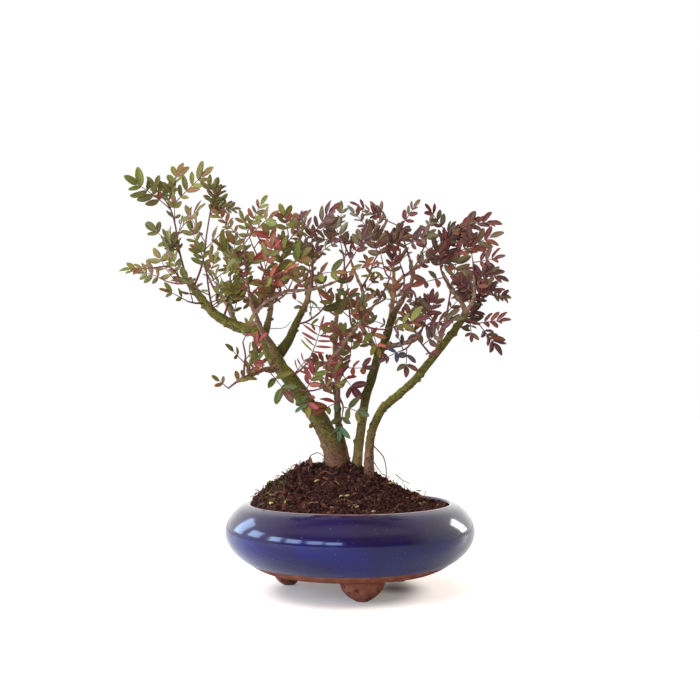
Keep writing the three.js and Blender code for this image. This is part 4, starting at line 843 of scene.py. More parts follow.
# for each stem: the points it runs through, the first inside its limb and the second on the
# limb's bark, and its leaves. For each leaf: how far up the stem it grows, the end of its rachis
# and its pairs of leaflets
LEAFY_STEMS = {
    "left_crest": (
        [(-137, 1, 259), (-137.3, 0.7, 260), (-141, -3, 273), (-145, -8, 292), (-146, -11, 304),
         (-149, -14, 317), (-153, -16, 325)],
        [(1, -163, -18, 338, 3), (0.95, -145, -8, 350, 3), (0.86, -123, -22, 345, 4),
         (0.84, -174, -34, 337, 4), (0.5, -127, -28, 315, 3), (0.36, -165, 4, 303, 2)],
    ),
    "left_top": (
        [(-132.8, 0.3, 254.1), (-131.4, 1.7, 258.5), (-127, 6, 272), (-124, 9, 288),
         (-123, 12, 301), (-120, 18, 325)],
        [(1, -121, 20, 343, 2), (0.62, -140, 36, 320, 3), (0.5, -103, -4, 307, 2)],
    ),
    "left_fan": (
        [(-84, -42, 261), (-84.1, -41.9, 261.8), (-85, -41, 276), (-87, -37, 289)],
        [(1, -108, -30, 312, 4), (1, -72, -44, 319, 5), (0.9, -65, -58, 306, 3),
         (0.3, -102, -58, 281, 3)],
    ),
    "left_tip": (
        [(-137, 1, 259), (-139, -1.8, 259.4), (-142, -6, 260), (-146, -14, 267), (-151, -20, 271),
         (-159, -24, 270)],
        [(1, -179, -28, 268, 3), (0.72, -147, -34, 291, 3)],
    ),
    "left_low": (
        [(-137, 1, 259), (-138.6, 2.6, 259), (-148, 12, 259), (-160, 20, 262)],
        [(1, -179, 26, 270, 3), (0.5, -167, 36, 283, 3)],
    ),
    "left_under": (
        [(-122.5, -1.3, 241.4), (-125, -5.1, 241.2), (-130, -13, 241), (-135, -20, 242)],
        [(1, -148, -30, 249, 2), (0.6, -134, -36, 259, 2)],
    ),
    "left_rear": (
        [(-122, 56, 258), (-122.3, 56.4, 258.7), (-130, 66, 274), (-134, 72, 289)],
        [(1, -144, 78, 311, 3), (0.7, -116, 86, 301, 2)],
    ),
    "left_front": (
        [(-115.7, -2.9, 233.7), (-115.7, -7.1, 236.2), (-116, -22, 245), (-116, -36, 255),
         (-116, -46, 264)],
        [(1, -120, -56, 281, 3), (0.7, -96, -64, 266, 2), (0.4, -130, -56, 254, 3)],
    ),
    "left_middle": (
        [(-107.1, -3.9, 227.7), (-105.5, -4.5, 232.7), (-102, -6, 244), (-101, -8, 257),
         (-100, -10, 271)],
        [(1, -96, -12, 292, 3), (0.7, -82, 2, 277, 2), (0.45, -118, 8, 262, 3)],
    ),
    "red_front": (
        [(-81.7, -37.3, 245.6), (-80, -39.4, 247), (-72, -50, 254), (-68, -58, 265)],
        [(1, -62, -64, 283, 3), (0.6, -50, -70, 264, 2)],
    ),
    "red_rise": (
        [(-56.3, -41.7, 246.5), (-56.4, -42, 248.7), (-57, -44, 262), (-54, -42, 278),
         (-50, -40, 294)],
        [(1, -54, -38, 311, 3), (0.85, -37, -54, 306, 3), (0.55, -67, -32, 295, 3),
         (0.3, -40, -54, 275, 2)],
    ),
    "red_rise_right": (
        [(-30.6, -46.2, 251), (-30.5, -46.5, 252.8), (-30, -49, 267), (-31, -47, 282),
         (-30, -45, 297)],
        [(1, -41, -30, 309, 3), (0.9, -17, -50, 311, 3), (0.5, -13, -58, 286, 3),
         (0.2, -13, -60, 263, 2)],
    ),
    "red_tip": (
        [(-10, -50, 257), (-9.4, -50.2, 257.9), (2, -53, 275)],
        [(1, 10, -54, 291, 3), (0.3, 14, -62, 268, 2)],
    ),
    "back_top": (
        [(-33, 38, 271), (-33.1, 38.2, 271.7), (-35, 42, 289), (-39, 44, 302)],
        [(1, -51, 46, 316, 3), (0.7, -20, 54, 314, 2)],
    ),
    "dark_top": (
        [(-75, 50, 269), (-75.3, 50.2, 269.6), (-82, 55, 285), (-88, 59, 298)],
        [(1, -96, 62, 320, 3), (0.8, -72, 68, 315, 2)],
    ),
    "dark_side": (
        [(-69.2, 30.6, 241.8), (-66, 33.5, 244.4), (-57, 42, 252), (-52, 52, 263)],
        [(1, -45, 60, 284, 3), (0.5, -38, 62, 257, 2)],
    ),
    "fork_side": (
        [(-46.6, 8.7, 224), (-43.5, 6.6, 224.6), (-37, 2, 226), (-30, -4, 230), (-24, -8, 235),
         (-18, -12, 243)],
        [(1, -23, -14, 259, 2), (0.75, -3, -18, 245, 3), (0.4, -33, -18, 243, 2)],
    ),
    "golden_tip": (
        [(-93, -38, 175), (-93.5, -38.3, 174.6), (-99, -42, 170)],
        [(1, -106, -44, 176, 1)],
    ),
    "golden_riser": (
        [(-87, -33.6, 177.9), (-86.8, -34.5, 179.7), (-86, -39, 189), (-85, -41, 197),
         (-87, -43, 208)],
        [(1, -81, -46, 222, 2), (0.5, -74, -52, 207, 2), (0.4, -94, -48, 200, 1)],
    ),
    "trunk_front": (
        [(-44.2, -6.5, 168.8), (-41.3, -13.7, 168.4), (-38, -22, 168), (-31, -26, 168),
         (-23, -30, 170)],
        [(1, -10, -34, 174, 2), (0.5, -34, -36, 156, 2)],
    ),
    "trunk_left": (
        [(-64.8, -14, 185.4), (-65.4, -19.3, 184.1), (-66, -24, 183), (-71, -30, 185)],
        [(1, -76, -36, 200, 2), (0.5, -54, -38, 169, 2)],
    ),
    "centre_red": (
        [(-51.2, -7.1, 178.5), (-47.7, -12.9, 180.7), (-41, -24, 185), (-34, -30, 192)],
        [(1, -25, -36, 216, 4), (0.6, -18, -42, 190, 2)],
    ),
    "middle_top": (
        [(-7, 56, 264), (-6.9, 56.2, 264.7), (-5, 62, 280), (-7, 66, 293)],
        [(1, -13, 70, 316, 3), (0.7, 11, 78, 300, 2)],
    ),
    "middle_side": (
        [(-11.6, 39.4, 232.2), (-13.7, 42.2, 233.9), (-21, 52, 240), (-27, 62, 252)],
        [(1, -34, 97, 272, 3), (0.5, -44, 82, 243, 2)],
    ),
    "middle_low": (
        [(-11.1, 24.3, 177.4), (-9.2, 21.9, 179.7), (-3, 14, 187), (0, 9, 197)],
        [(1, 2, 5, 214, 2), (0.5, 12, 2, 187, 2), (0.2, 2, 6, 170, 2)],
    ),
    "middle_teal": (
        [(-10.2, 7.6, 164.3), (-9.5, 5.9, 162.8), (-6, -3, 155), (-6, -7, 150)],
        [(1, -8, -10, 136, 2), (0.6, 7, -14, 150, 2), (0.3, -20, -10, 153, 2)],
    ),
    "shoot_top": (
        [(24, -38, 242), (24.3, -38.3, 242.6), (29, -43, 252), (32, -47, 259)],
        [(1, 35, -51, 275, 3), (0.4, 43, -54, 248, 2)],
    ),
    "shoot_middle": (
        [(2.4, -25.3, 216.6), (1.8, -26.6, 219.8), (0, -30, 228), (-1, -34, 240)],
        [(1, -3, -38, 258, 2), (0.6, 13, -46, 240, 3), (0.5, -16, -36, 242, 3)],
    ),
    "shoot_right": (
        [(7.4, -28.7, 223.1), (9.4, -29.4, 222.3), (19, -33, 219), (29, -36, 218)],
        [(1, 52, -40, 225, 3), (0.4, 22, -42, 204, 2)],
    ),
    "fork_top": (
        [(0, 53, 285), (-0.3, 53.1, 285.6), (-4, 55, 295), (-8, 56, 305), (-8, 56, 311)],
        [(1, -8, 50, 326, 3), (0.45, -38, 64, 306, 4), (0.4, 12, 50, 306, 2)],
    ),
    "fork_right": (
        [(9.5, 47.1, 256.4), (10.9, 45.8, 258.6), (17, 40, 269), (21, 34, 280), (27, 28, 290)],
        [(1, 45, 22, 298, 3), (0.85, 19, 24, 305, 3)],
    ),
    "crest_left": (
        [(36, 36, 286), (35.7, 36.1, 286.7), (32, 38, 295), (25, 38, 298)],
        [(1, 4, 32, 322, 4), (0.8, 23, 54, 324, 3)],
    ),
    "crest_middle": (
        [(50, -8, 279), (49.8, -8.1, 279.7), (47, -10, 288), (44, -12, 297), (42, -14, 305)],
        [(1, 8, -18, 321, 5), (0.95, 53, -20, 320, 3), (0.4, 61, -26, 294, 3)],
    ),
    "crest_right": (
        [(71, 12, 284), (71.4, 11.9, 284.6), (77, 10, 292), (82, 8, 299), (85, 6, 305)],
        [(1, 116, 2, 310, 5), (0.8, 69, 0, 319, 3)],
    ),
    "right_middle": (
        [(77, -4, 269), (76.8, -4.6, 270.6), (76, -7, 277)],
        [(1, 117, -12, 296, 5), (1, 62, -6, 290, 2), (0.4, 95, -16, 268, 2)],
    ),
    "right_far": (
        [(101, -38, 263), (100.9, -38.2, 263.7), (100, -41, 273)],
        [(1, 97, -44, 292, 3), (0.9, 116, -50, 275, 3), (0.3, 119, -42, 261, 3)],
    ),
    "right_edge": (
        [(100.6, -30, 243.7), (102.1, -28.5, 243.7), (109, -22, 244), (116, -20, 248)],
        [(1, 127, -18, 247, 3), (0.5, 116, -12, 265, 2)],
    ),
    "right_hang": (
        [(92.5, -23.8, 226.9), (95.2, -26, 226.2), (100, -30, 225), (106, -34, 222)],
        [(1, 117, -40, 207, 4), (0.8, 121, -42, 225, 3), (0.4, 99, -36, 214, 2)],
    ),
    "right_low": (
        [(69, -19.9, 195.4), (67, -22.4, 197.6), (61, -30, 204), (55, -37, 211)],
        [(1, 49, -27, 230, 3), (0.6, 73, -44, 217, 3), (0.2, 69, -36, 198, 2)],
    ),
    "dark_low": (
        [(53.6, -14, 211.2), (52.6, -15.4, 209.9), (48, -22, 204), (43, -27, 201)],
        [(1, 30, -32, 195, 2), (0.9, 39, -34, 213, 2), (0.6, 46, -36, 188, 2)],
    ),
    "dark_tip": (
        [(59, -22, 217), (59.2, -22.4, 217.6), (62, -28, 225)],
        [(1, 66, -32, 242, 3), (0.5, 81, -34, 226, 3)],
    ),
    "right_rear": (
        [(86, 44, 236), (86.1, 44.4, 236.7), (89, 52, 251), (91, 58, 262)],
        [(1, 96, 64, 284, 3), (0.7, 113, 72, 269, 2)],
    ),
    "right_rear_low": (
        [(82.1, 28.5, 223.5), (80.1, 31.4, 224.5), (73, 42, 228), (67, 54, 235)],
        [(1, 54, 64, 250, 3), (0.5, 59, 58, 217, 2)],
    ),
    "inner_rear": (
        [(38, 27.8, 262.8), (36.8, 31.2, 264.3), (32, 44, 270), (29, 56, 282)],
        [(1, 25, 64, 304, 3), (0.6, 49, 70, 287, 2)],
    ),
    "inner_rear_low": (
        [(33.1, 15.9, 218.6), (34.3, 19.6, 220.3), (39, 34, 227), (42, 46, 238)],
        [(1, 41, 54, 258, 3), (0.5, 59, 48, 241, 2)],
    ),
    "inner_front": (
        [(44.9, 6.5, 245.5), (45, 2.4, 247.3), (45, -8, 252), (45, -20, 262), (42, -30, 270)],
        [(1, 34, -38, 289, 3), (0.7, 58, -42, 271, 2)],
    ),
    "outer_front": (
        [(85.1, -13.7, 253.1), (84.1, -15.5, 254.1), (78, -26, 260), (75, -34, 265)],
        [(1, 70, -44, 282, 3), (0.6, 60, -46, 256, 2)],
    ),
    "right_top_rear": (
        [(54.4, 17.8, 271.5), (55, 19.4, 272.5), (61, 36, 283), (66, 48, 295)],
        [(1, 72, 56, 316, 3), (0.7, 87, 64, 302, 2)],
    ),
}
LEAFLET_LENGTH, LEAFLET_WIDTH, BLADE_THICK, TWIG_SIDES = 14.0, 0.42, 0.3, 7
# a leaf this long has full-grown leaflets, and a short one has leaflets this share as large
FULL_REACH, SMALLEST_LEAFLET = 24, 0.6
PAIRS_FROM, PAIRS_TO = 0.36, 0.9
RACHIS_ARCH, RACHIS_POINTS = 0.14, 9
# leaves nearer than this face the front, all look up a little, and none quite as the next
FACE_DIVIDE, FACING_UP, TURNED_BY = 8, 0.75, 0.7
# angles in radians: how far a leaflet opens from the rachis, lifts and twists
OPENING, LIFT, TWIST = 0.95, 0.25, 0.8
MAIN_SEED, THICKET_SEED = 20, 5000

FRESH_GREEN, OLIVE, DEEP_GREEN = paint(106, 109, 42), paint(100, 91, 37), paint(72, 74, 30)
GREY_OLIVE, BRONZE, BROWN_RED = paint(88, 80, 54), paint(114, 80, 44), paint(114, 55, 38)
BRICK, CRIMSON, FLAME = paint(144, 68, 54), paint(138, 48, 50), paint(188, 74, 48)
BURGUNDY, DARK_PLUM, PLUM = paint(93, 42, 40), paint(76, 45, 44), paint(92, 61, 58)
SLATE, TEAL, LIME = paint(72, 70, 80), paint(74, 96, 64), paint(124, 122, 60)
GREY_GREEN, TWIG_RED, TWIG_BROWN = paint(118, 118, 98), paint(98, 38, 44), paint(116, 74, 60)

# the tints that the leaflets of each half of the crown draw from, and patches that stand out:
# middle x and z, reach, and their tints
GREEN_CROWN = (FRESH_GREEN, FRESH_GREEN, OLIVE, OLIVE, OLIVE, DEEP_GREEN, BRONZE, BROWN_RED)
CROWN_DIVIDE, DIVIDE_BLUR = -8, 14
# the right half's darker, greyer tints are partly the purple of its leaves and partly painted shade on that
# side of the crown
PURPLE_CROWN = (BURGUNDY, BURGUNDY, BURGUNDY, BROWN_RED, DARK_PLUM, DARK_PLUM, PLUM, GREY_OLIVE, GREY_OLIVE)
COLOUR_PATCHES = [
    (-175, 340, 13, (LIME, FRESH_GREEN, FRESH_GREEN)),
    (-112, 336, 16, (FRESH_GREEN, LIME, BRONZE, OLIVE)),
    (-160, 348, 18, (DEEP_GREEN, FRESH_GREEN, OLIVE, OLIVE)),
    (-164, 305, 16, (FRESH_GREEN, OLIVE, DEEP_GREEN)),
    (-67, 287, 12, (CRIMSON, BRICK, BRONZE, OLIVE)),
    (-69, 255, 16, (BRICK, BRONZE, OLIVE, FRESH_GREEN)),
    (-52, 257, 12, (CRIMSON, BRICK, OLIVE, BRONZE)),
    (-44, 168, 18, (TEAL, DEEP_GREEN, TEAL, BURGUNDY)),
    (-2, 144, 16, (TEAL, TEAL, DEEP_GREEN, OLIVE)),
    (13, 219, 14, (FLAME, BRICK, CRIMSON, FRESH_GREEN)),
    (-24, 205, 14, (CRIMSON, BURGUNDY, BROWN_RED)),
    (48, 224, 10, (LIME, OLIVE, BURGUNDY, BROWN_RED)),
    (44, 204, 14, (SLATE, SLATE, PLUM)),
    (-4, 318, 9, (GREY_GREEN, GREY_GREEN, PLUM)),
    (-20, 300, 22, (DARK_PLUM, DARK_PLUM, PLUM, BURGUNDY, GREY_OLIVE)),
    (-92, 176, 20, (OLIVE, LIME, BRONZE)),
    (-70, 200, 18, (OLIVE, BROWN_RED, CRIMSON, FRESH_GREEN)),
    (-30, 188, 36, (CRIMSON, BRICK, BRONZE, BROWN_RED, OLIVE, FRESH_GREEN)),
    (4, 216, 26, (OLIVE, BRICK, BROWN_RED, BRONZE, FRESH_GREEN)),
    (14, 250, 26, (OLIVE, DEEP_GREEN, BRONZE, BROWN_RED)),
]
# where leaflets grow larger or smaller: middle x and z, reach, and how large against the usual
GROWTH_PATCHES = [
    (-46, 166, 24, 1.25), (-2, 146, 22, 1.4), (4, 166, 12, 1.3), (44, 202, 13, 1.1),
    (-90, 314, 24, 0.68), (60, 322, 18, 0.72), (4, 314, 14, 0.66), (-134, 300, 12, 0.75),
    (50, 266, 13, 0.66), (34, 232, 12, 0.66), (-34, 299, 9, 0.8), (-17, 282, 9, 0.6),
    (-42, 242, 14, 0.8), (-144, 356, 13, 0.85),
]
# a leaf seen from its edge: how wide its leaflets look, and how much wider they open
EDGE_ON = {"centre_red": (0.36, 0.42)}
# where more leaves stand between those of the solid part: middle x and z, reach across and up,
# and how many
THICKETS = [
    (-110, 334, 12, 8, 3), (-104, 328, 7, 5, 2), (-144, 316, 12, 8, 2), (-152, 333, 7, 6, 1),
    (-150, 300, 8, 7, 2), (-153, 283, 8, 6, 1), (-106, 280, 10, 8, 3), (-86, 282, 10, 10, 2),
    (-58, 286, 12, 8, 5), (-51, 300, 8, 5, 2), (-51, 266, 8, 6, 2), (-76, 262, 34, 8, 11),
    (-84, 247, 24, 8, 9), (-101, 249, 8, 6, 4), (-68, 249, 8, 6, 3), (-36, 284, 9, 6, 3),
    (-12, 300, 10, 5, 1), (17, 331, 8, 5, 2), (20, 278, 8, 5, 1), (17, 265, 7, 6, 2),
    (17, 249, 7, 6, 1), (16, 232, 8, 6, 3), (43, 308, 9, 6, 2), (89, 304, 12, 10, 6),
    (74, 284, 8, 6, 4), (74, 240, 8, 7, 2), (100, 262, 14, 8, 7), (94, 246, 14, 8, 5),
    (112, 250, 7, 7, 3), (104, 230, 10, 7, 3), (2, 240, 10, 7, 3), (-8, 222, 8, 8, 2),
    (-20, 216, 6, 6, 2), (3, 214, 8, 7, 3), (-10, 204, 8, 7, 1), (-42, 188, 8, 6, 1),
    (-27, 188, 8, 7, 2), (-10, 188, 8, 7, 2), (-27, 172, 6, 6, 1), (-78, 190, 8, 6, 1),
    (-84, 182, 6, 5, 1),
]
NEAREST_TWIG, BEST_TWIG, FARTHEST_TWIG = 8, 16, 25
# a twig fits a leaf worse the higher it stands over it, and by chance
TWIG_OVER, TWIG_CHANCE, THICKET_DEPTH, THICKET_DRAWS = 0.6, 5, 22, 77
# the least of a blade's fullness, fold and bow, and how much more it may have
FULLNESS, FOLD, BOW = (0.86, 0.28), (0.12, 0.4), (0.02, 0.14)


def tint_at(spot, draw):
    """A leaflet's tint and blush, drawn from the patch it grows in or from its half of the crown."""
    shares = [math.hypot(spot[0] - x, spot[2] - z) / reach for x, z, reach, _ in COLOUR_PATCHES]
    if min(shares) < 1:
        tints = COLOUR_PATCHES[shares.index(min(shares))][3]
    else:
        divide = CROWN_DIVIDE + DIVIDE_BLUR * (next(draw) - 0.5)
        tints = GREEN_CROWN if spot[0] < divide else PURPLE_CROWN
    tint, other = (np.array(tints[int(next(draw) * len(tints))][:3]) for _ in range(2))
    return tint * (0.74 + 0.48 * next(draw)), tint * 0.5 + other * (0.35 + 0.3 * next(draw))


def lay_leaf(base, tip, pairs, seed, wider):
    """A leaf's rachis and its leaflets, worked out as in the solid part, with all its pairs."""
    draw = draws(seed)
    base, end = np.array(base, float), np.array(tip, float)
    reach = float(np.linalg.norm(end - base))
    facing = np.array([
        tip[0] * 0.003 + TURNED_BY * (next(draw) - 0.5),
        (-1 if end[1] < FACE_DIVIDE else 1) + TURNED_BY * (next(draw) - 0.5),
        FACING_UP + TURNED_BY * (next(draw) - 0.5),
    ])
    bow = across(np.array([0.05, 0, 1]), unit(end - base))
    crown = base + (end - base) / 2 + bow * RACHIS_ARCH * (next(draw) - 0.4) * reach

    def rachis(u):
        return base * (1 - u) ** 2 + 2 * crown * u * (1 - u) + end * u * u

    def stand(u):
        ahead = unit(rachis(min(u + 0.05, 1)) - rachis(max(u - 0.05, 0)))
        normal = across(facing, ahead)
        return rachis(u), ahead, normal, np.cross(normal, ahead)

    grown_size = LEAFLET_LENGTH * min(1, max(SMALLEST_LEAFLET, reach / FULL_REACH))
    leaflets = []
    for k in range(pairs):
        share = k / (pairs - 1) if pairs > 1 else 0.5
        at, forward, normal, left = stand(PAIRS_FROM + (PAIRS_TO - PAIRS_FROM) * share)
        for side in (1, -1):
            opening = OPENING + wider + 0.3 * (next(draw) - 0.5) - 0.15 * share
            lift = LIFT + 0.6 * (next(draw) - 0.5)
            size = grown_size * (0.7 + 0.45 * next(draw)) * (0.9 + 0.1 * share)
            twist = TWIST * (next(draw) - 0.5)
            sideways = left * side * math.cos(lift) + normal * math.sin(lift)
            ahead = unit(forward * math.cos(opening) + sideways * math.sin(opening))
            flat, rise = across(forward, ahead), across(normal, ahead)
            face = np.cross(ahead, unit(flat * math.cos(twist) + rise * side * math.sin(twist)))
            face = -face if np.dot(face, normal) < 0 else face
            leaflets.append((at + left * side * 0.35, ahead, face, size))
    at, forward, normal, left = stand(1)
    size = grown_size * (0.9 + 0.2 * next(draw))
    droop = unit(forward + normal * 0.3 * (next(draw) - 0.5))
    leaflets.append((at, droop, across(normal, droop), size))
    return [rachis(u) for u in np.linspace(0, 1, RACHIS_POINTS)], leaflets, draw


def round_wood(bench, lines, sides):
    """Round wood along lines, as thick as their points carry."""
    curves = bench.make("GeometryNodeMeshToCurve", (), {0: lines})
    ring = bench.make("GeometryNodeCurvePrimitiveCircle", (), {"Resolution": sides, "Radius": 1.0})
    sockets = {"Curve": curves, "Profile Curve": ring, "Scale": named(bench, "thick"), "Fill Caps": True}
    return bench.make("GeometryNodeCurveToMesh", (), sockets)


# the tree that makes twigs, stalks and blades from their lines and points. A line's points have
# no leaflet's size
leaf, twig_skin = Finish("leathery_leaflet"), Finish("reddish_twig_bark")
sizes = {"Blade thickness": "Float", "Width of length": "Float", "Twig sides": "Int"}
bench, given = tree_of("leafy_stem", sizes)
size = named(bench, "size")
sockets = {0: given["Geometry"], 1: size}
feet = bench.make("GeometryNodeSeparateGeometry", {"domain": "POINT"}, sockets)
wood = round_wood(bench, feet.beside(1), given["Twig sides"])
wood = bench.make("GeometryNodeSetMaterial", (), {"Geometry": wood, "Material": twig_skin.material})
# a blade starts as a flat box: run goes from its foot to its tip, aside from edge to edge
sockets = {"Size": (1, 1, 1), "Vertices X": 8, "Vertices Y": 5, "Vertices Z": 2}
sockets = {0: bench.make("GeometryNodeMeshCube", (), sockets), 2: "blade"}
sockets[3] = bench.make("GeometryNodeInputPosition")
settings = {"data_type": "FLOAT_VECTOR", "domain": "POINT"}
blade = bench.make("GeometryNodeStoreNamedAttribute", settings, sockets)
cards = bench.make("GeometryNodeInstanceOnPoints", (), {"Points": feet, "Instance": blade})
cards = bench.make("GeometryNodeRealizeInstances", (), {0: cards})
run, aside, skin = bench.parts(named(bench, "blade", "FLOAT_VECTOR"))
arc, aside = (run + 0.5) * math.pi, aside * 2
taper = bench.number("SINE", arc) ** 1.25 * 0.95 + 0.05
reach = 0.5 - bench.number("COSINE", arc) * 0.5
half = size * given["Width of length"] * 0.5 * taper * named(bench, "fullness")
bow = named(bench, "bow")
rise = abs(aside) * half * named(bench, "fold") - reach * reach * size * bow
rise = rise + bench.number("SINE", reach * 9.0 + bow * 90.0) * aside * half * 0.12
rise = rise + skin * given["Blade thickness"] * (1 - aside * aside * 0.6)
shape = named(bench, "foot", "FLOAT_VECTOR")
for way, length in (("ahead", reach * size), ("wide", aside * half), ("face", rise)):
    way = bench.vector("SCALE", named(bench, way, "FLOAT_VECTOR"), length)
    shape = bench.vector("ADD", shape, way)
blades = bench.make("GeometryNodeSetPosition", (), {0: cards, 2: shape})
blades = bench.make("GeometryNodeSetMaterial", (), {"Geometry": blades, "Material": leaf.material})
finish_tree(bench, bench.make("GeometryNodeJoinGeometry", (), {0: [blades, wood]}))

# each stem's own line, and from them and the limbs the twigs that a thicket's leaf may grow from
stem_lines = {
    name: smooth_line(run[1:], max(6, round(run_of(run[1:]) / STEM_STEP)))
    for name, (run, _) in LEAFY_STEMS.items()
}
twigs = [(name, *p) for name, line in stem_lines.items() for p in line[1:]]
for rows in LIMBS.values():
    twigs += [("limbs", x, y, z) for x, y, z, r in smooth_line(rows, len(rows) * 4) if r < 4]
twig_spots = np.array([spot for _, *spot in twigs])

# the leaves of the thickets: for each stem its leaves' bases, tips and pairs
draw = draws(THICKET_DRAWS)
more_leaves = {name: [] for name, *_ in twigs}
for middle_x, middle_z, across_reach, up_reach, count in THICKETS:
    for _ in range(count):
        out, bearing = math.sqrt(next(draw)), 2 * math.pi * next(draw)
        x = middle_x + across_reach * out * math.cos(bearing)
        z = middle_z + up_reach * out * math.sin(bearing)
        away = np.hypot(twig_spots[:, 0] - x, twig_spots[:, 2] - z)
        fitness = abs(away - BEST_TWIG) + TWIG_OVER * np.maximum(0, twig_spots[:, 2] - z)
        fitness += np.array([TWIG_CHANCE * next(draw) for _ in twigs])
        fitness[(away < NEAREST_TWIG) | (away > FARTHEST_TWIG)] = math.inf
        best = int(np.argmin(fitness))
        if fitness[best] < math.inf:
            name, *base = twigs[best]
            tip = (x, base[1] + THICKET_DEPTH * (next(draw) - 0.5), z)
            more_leaves[name].append((base, tip, 2 + int(next(draw) * 2.6)))

BLADE_FIELDS = {
    "foot": "FLOAT_VECTOR", "ahead": "FLOAT_VECTOR", "face": "FLOAT_VECTOR", "wide": "FLOAT_VECTOR",
    "size": "FLOAT", "fullness": "FLOAT", "fold": "FLOAT", "bow": "FLOAT",
    "tint": "FLOAT_COLOR", "blush": "FLOAT_COLOR",
}


def leafy_stem(name, start, stem_line, leaves, order):
    """Lays out the leaves on one stem and has the tree grow them."""
    points, edges, thick, stands, blades = [], [], [], [], []

    def line(run, first, last):
        edges.extend((len(points) + k, len(points) + k + 1) for k in range(len(run) - 1))
        points.extend(run)
        thick.extend(np.linspace(first, last, len(run)) * MM)

    if start:
        line([start, *stem_line], *TWIG_RADII)
    for place, (u, x, y, z, pairs) in enumerate(leaves):
        share = min(u, 1 - 0.4 / run_of(stem_line)) * (len(stem_line) - 1)
        k = min(int(share), len(stem_line) - 2)
        base = stem_line[k] * (1 - share + k) + stem_line[k + 1] * (share - k)
        stands.append((base, (x, y, z), pairs, order * MAIN_SEED + place))
    for place, stand in enumerate(more_leaves[name]):
        stands.append((*stand, THICKET_SEED + order * 40 + place))
    narrow, wider = EDGE_ON.get(name, (1, 0))
    feet = []
    for stand in stands:
        stalk, leaflets, draw = lay_leaf(*stand, wider)
        line(stalk, *STALK_RADII)
        next(draw)  # passed over, which keeps every later draw in its place
        for at, ahead, face, size in leaflets:
            near = [g for x, z, reach, g in GROWTH_PATCHES if math.hypot(at[0] - x, at[2] - z) < reach]
            size *= near[0] if near else 1
            tint, blush = tint_at(at + ahead * size / 2, draw)
            full, fold, bow = (least + more * next(draw) for least, more in (FULLNESS, FOLD, BOW))
            feet.append(at)
            stand = at * MM + POT_AXIS, ahead, face, np.cross(face, ahead)
            blades.append((*stand, size * MM, full * narrow, fold, bow, (*tint, 1), (*blush, 1)))
    piece = placed("leafy_stem_fine_" + name, points + feet, [], edges)
    for (title, kind), values in zip(BLADE_FIELDS.items(), zip(*blades)):
        carry(piece.data, title, values, kind)
    carry(piece.data, "thick", thick + [0] * len(feet))
    sizes = {"Blade thickness": BLADE_THICK * MM, "Width of length": LEAFLET_WIDTH, "Twig sides": TWIG_SIDES}
    grown(piece, bench, sizes)
    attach(piece, "root")
    return piece


leaf_slots = {row["node"]: row["material_slot"] for row in frame["record"]["subparts"]}
for order, (name, (run, leaves)) in enumerate(LEAFY_STEMS.items()):
    stem = leafy_stem(name, run[0], stem_lines[name], leaves, order)
    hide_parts("leafy_stem_" + name)
    leaf_slots["leafy_stem_" + name]
leafy_stem("limbs", None, [], (), len(LEAFY_STEMS))

run, aside, skin = leaf.parts(leaf.carried("blade", 1))
aside = abs(aside * 2)
under = 1 - leaf.step(skin, -0.1, 0.1)
rib = 1 - leaf.step(aside, 0.03, 0.13)
veins = leaf.step(leaf.number("SINE", run * 60 - aside * 11), 0.7, 1) * (1 - rib)
cloud, worn = leaf.mottle(7, 3, 0.5), leaf.mottle(2.4, 4, 0.6)
share = leaf.step(cloud + run * 0.3, 0.3, 0.75) * 0.8
colour = leaf.blend(share, leaf.carried("tint", 0), leaf.carried("blush", 0))
dimmed = leaf.blend(1.0, colour, (0.5, 0.42, 0.4, 1), "MULTIPLY")
colour = leaf.blend(leaf.step(worn, 0.5, 0.75) * 0.16, colour, dimmed)
colour = leaf.blend(leaf.step(aside, 0.82, 1) * 0.18, colour, BROWN_RED)
colour = leaf.blend(under * 0.2, colour, paint(140, 126, 84))
colour = leaf.blend(rib * 0.32 + veins * 0.05, colour, paint(168, 136, 100))
relief = leaf.relief(rib * 0.6 + veins * 0.2 + worn * 0.2, 0.05)
leaf.shade(colour, 0.4 + worn * 0.2, relief, **{"Specular IOR Level": 0.2})
twig_skin.shade(
    twig_skin.blend(twig_skin.step(twig_skin.mottle(4, 4, 0.6), 0.4, 0.62), TWIG_RED, TWIG_BROWN),
    0.6,
    twig_skin.relief(twig_skin.mottle(0.8, 3), 0.1),
    **{"Specular IOR Level": 0.25},
)

# The bare twigs and roots
# Hair roots curl out of the soil beside the trunks, and wiry old twigs without leaves stand
# between the limbs of the left crown. Each has a radius and the points it runs through.
WIRES = {
    "root_curl": (0.5, [
        (-38, -6, 105), (-35, -7, 109), (-33, -7, 113), (-29, -7, 115), (-26, -6, 115), (-22, -5, 112),
        (-22, -4, 109),
    ]),
    "root_hair": (0.66, [
        (20, -9, 121), (24, -9, 117), (28, -9, 112), (30, -9, 105), (30.5, -9, 99), (30.5, -10, 95),
    ]),
    "root_short": (0.45, [(20, -8, 108), (23, -9, 103), (26, -9, 99)]),
    "root_low": (0.4, [(38, -12, 98), (44, -14, 93), (50, -15, 90)]),
    "wire_long": (0.5, [(-52, 4, 172), (-58, 4, 188), (-62, 3, 201), (-66, 2, 210)]),
    "wire_bent": (0.5, [(-49, 0, 176), (-57, -1, 194), (-61, -2, 207)]),
    "wire_side": (0.42, [(-75, -6, 221), (-63, -5, 220), (-55, -4, 221), (-50, -4, 226)]),
}
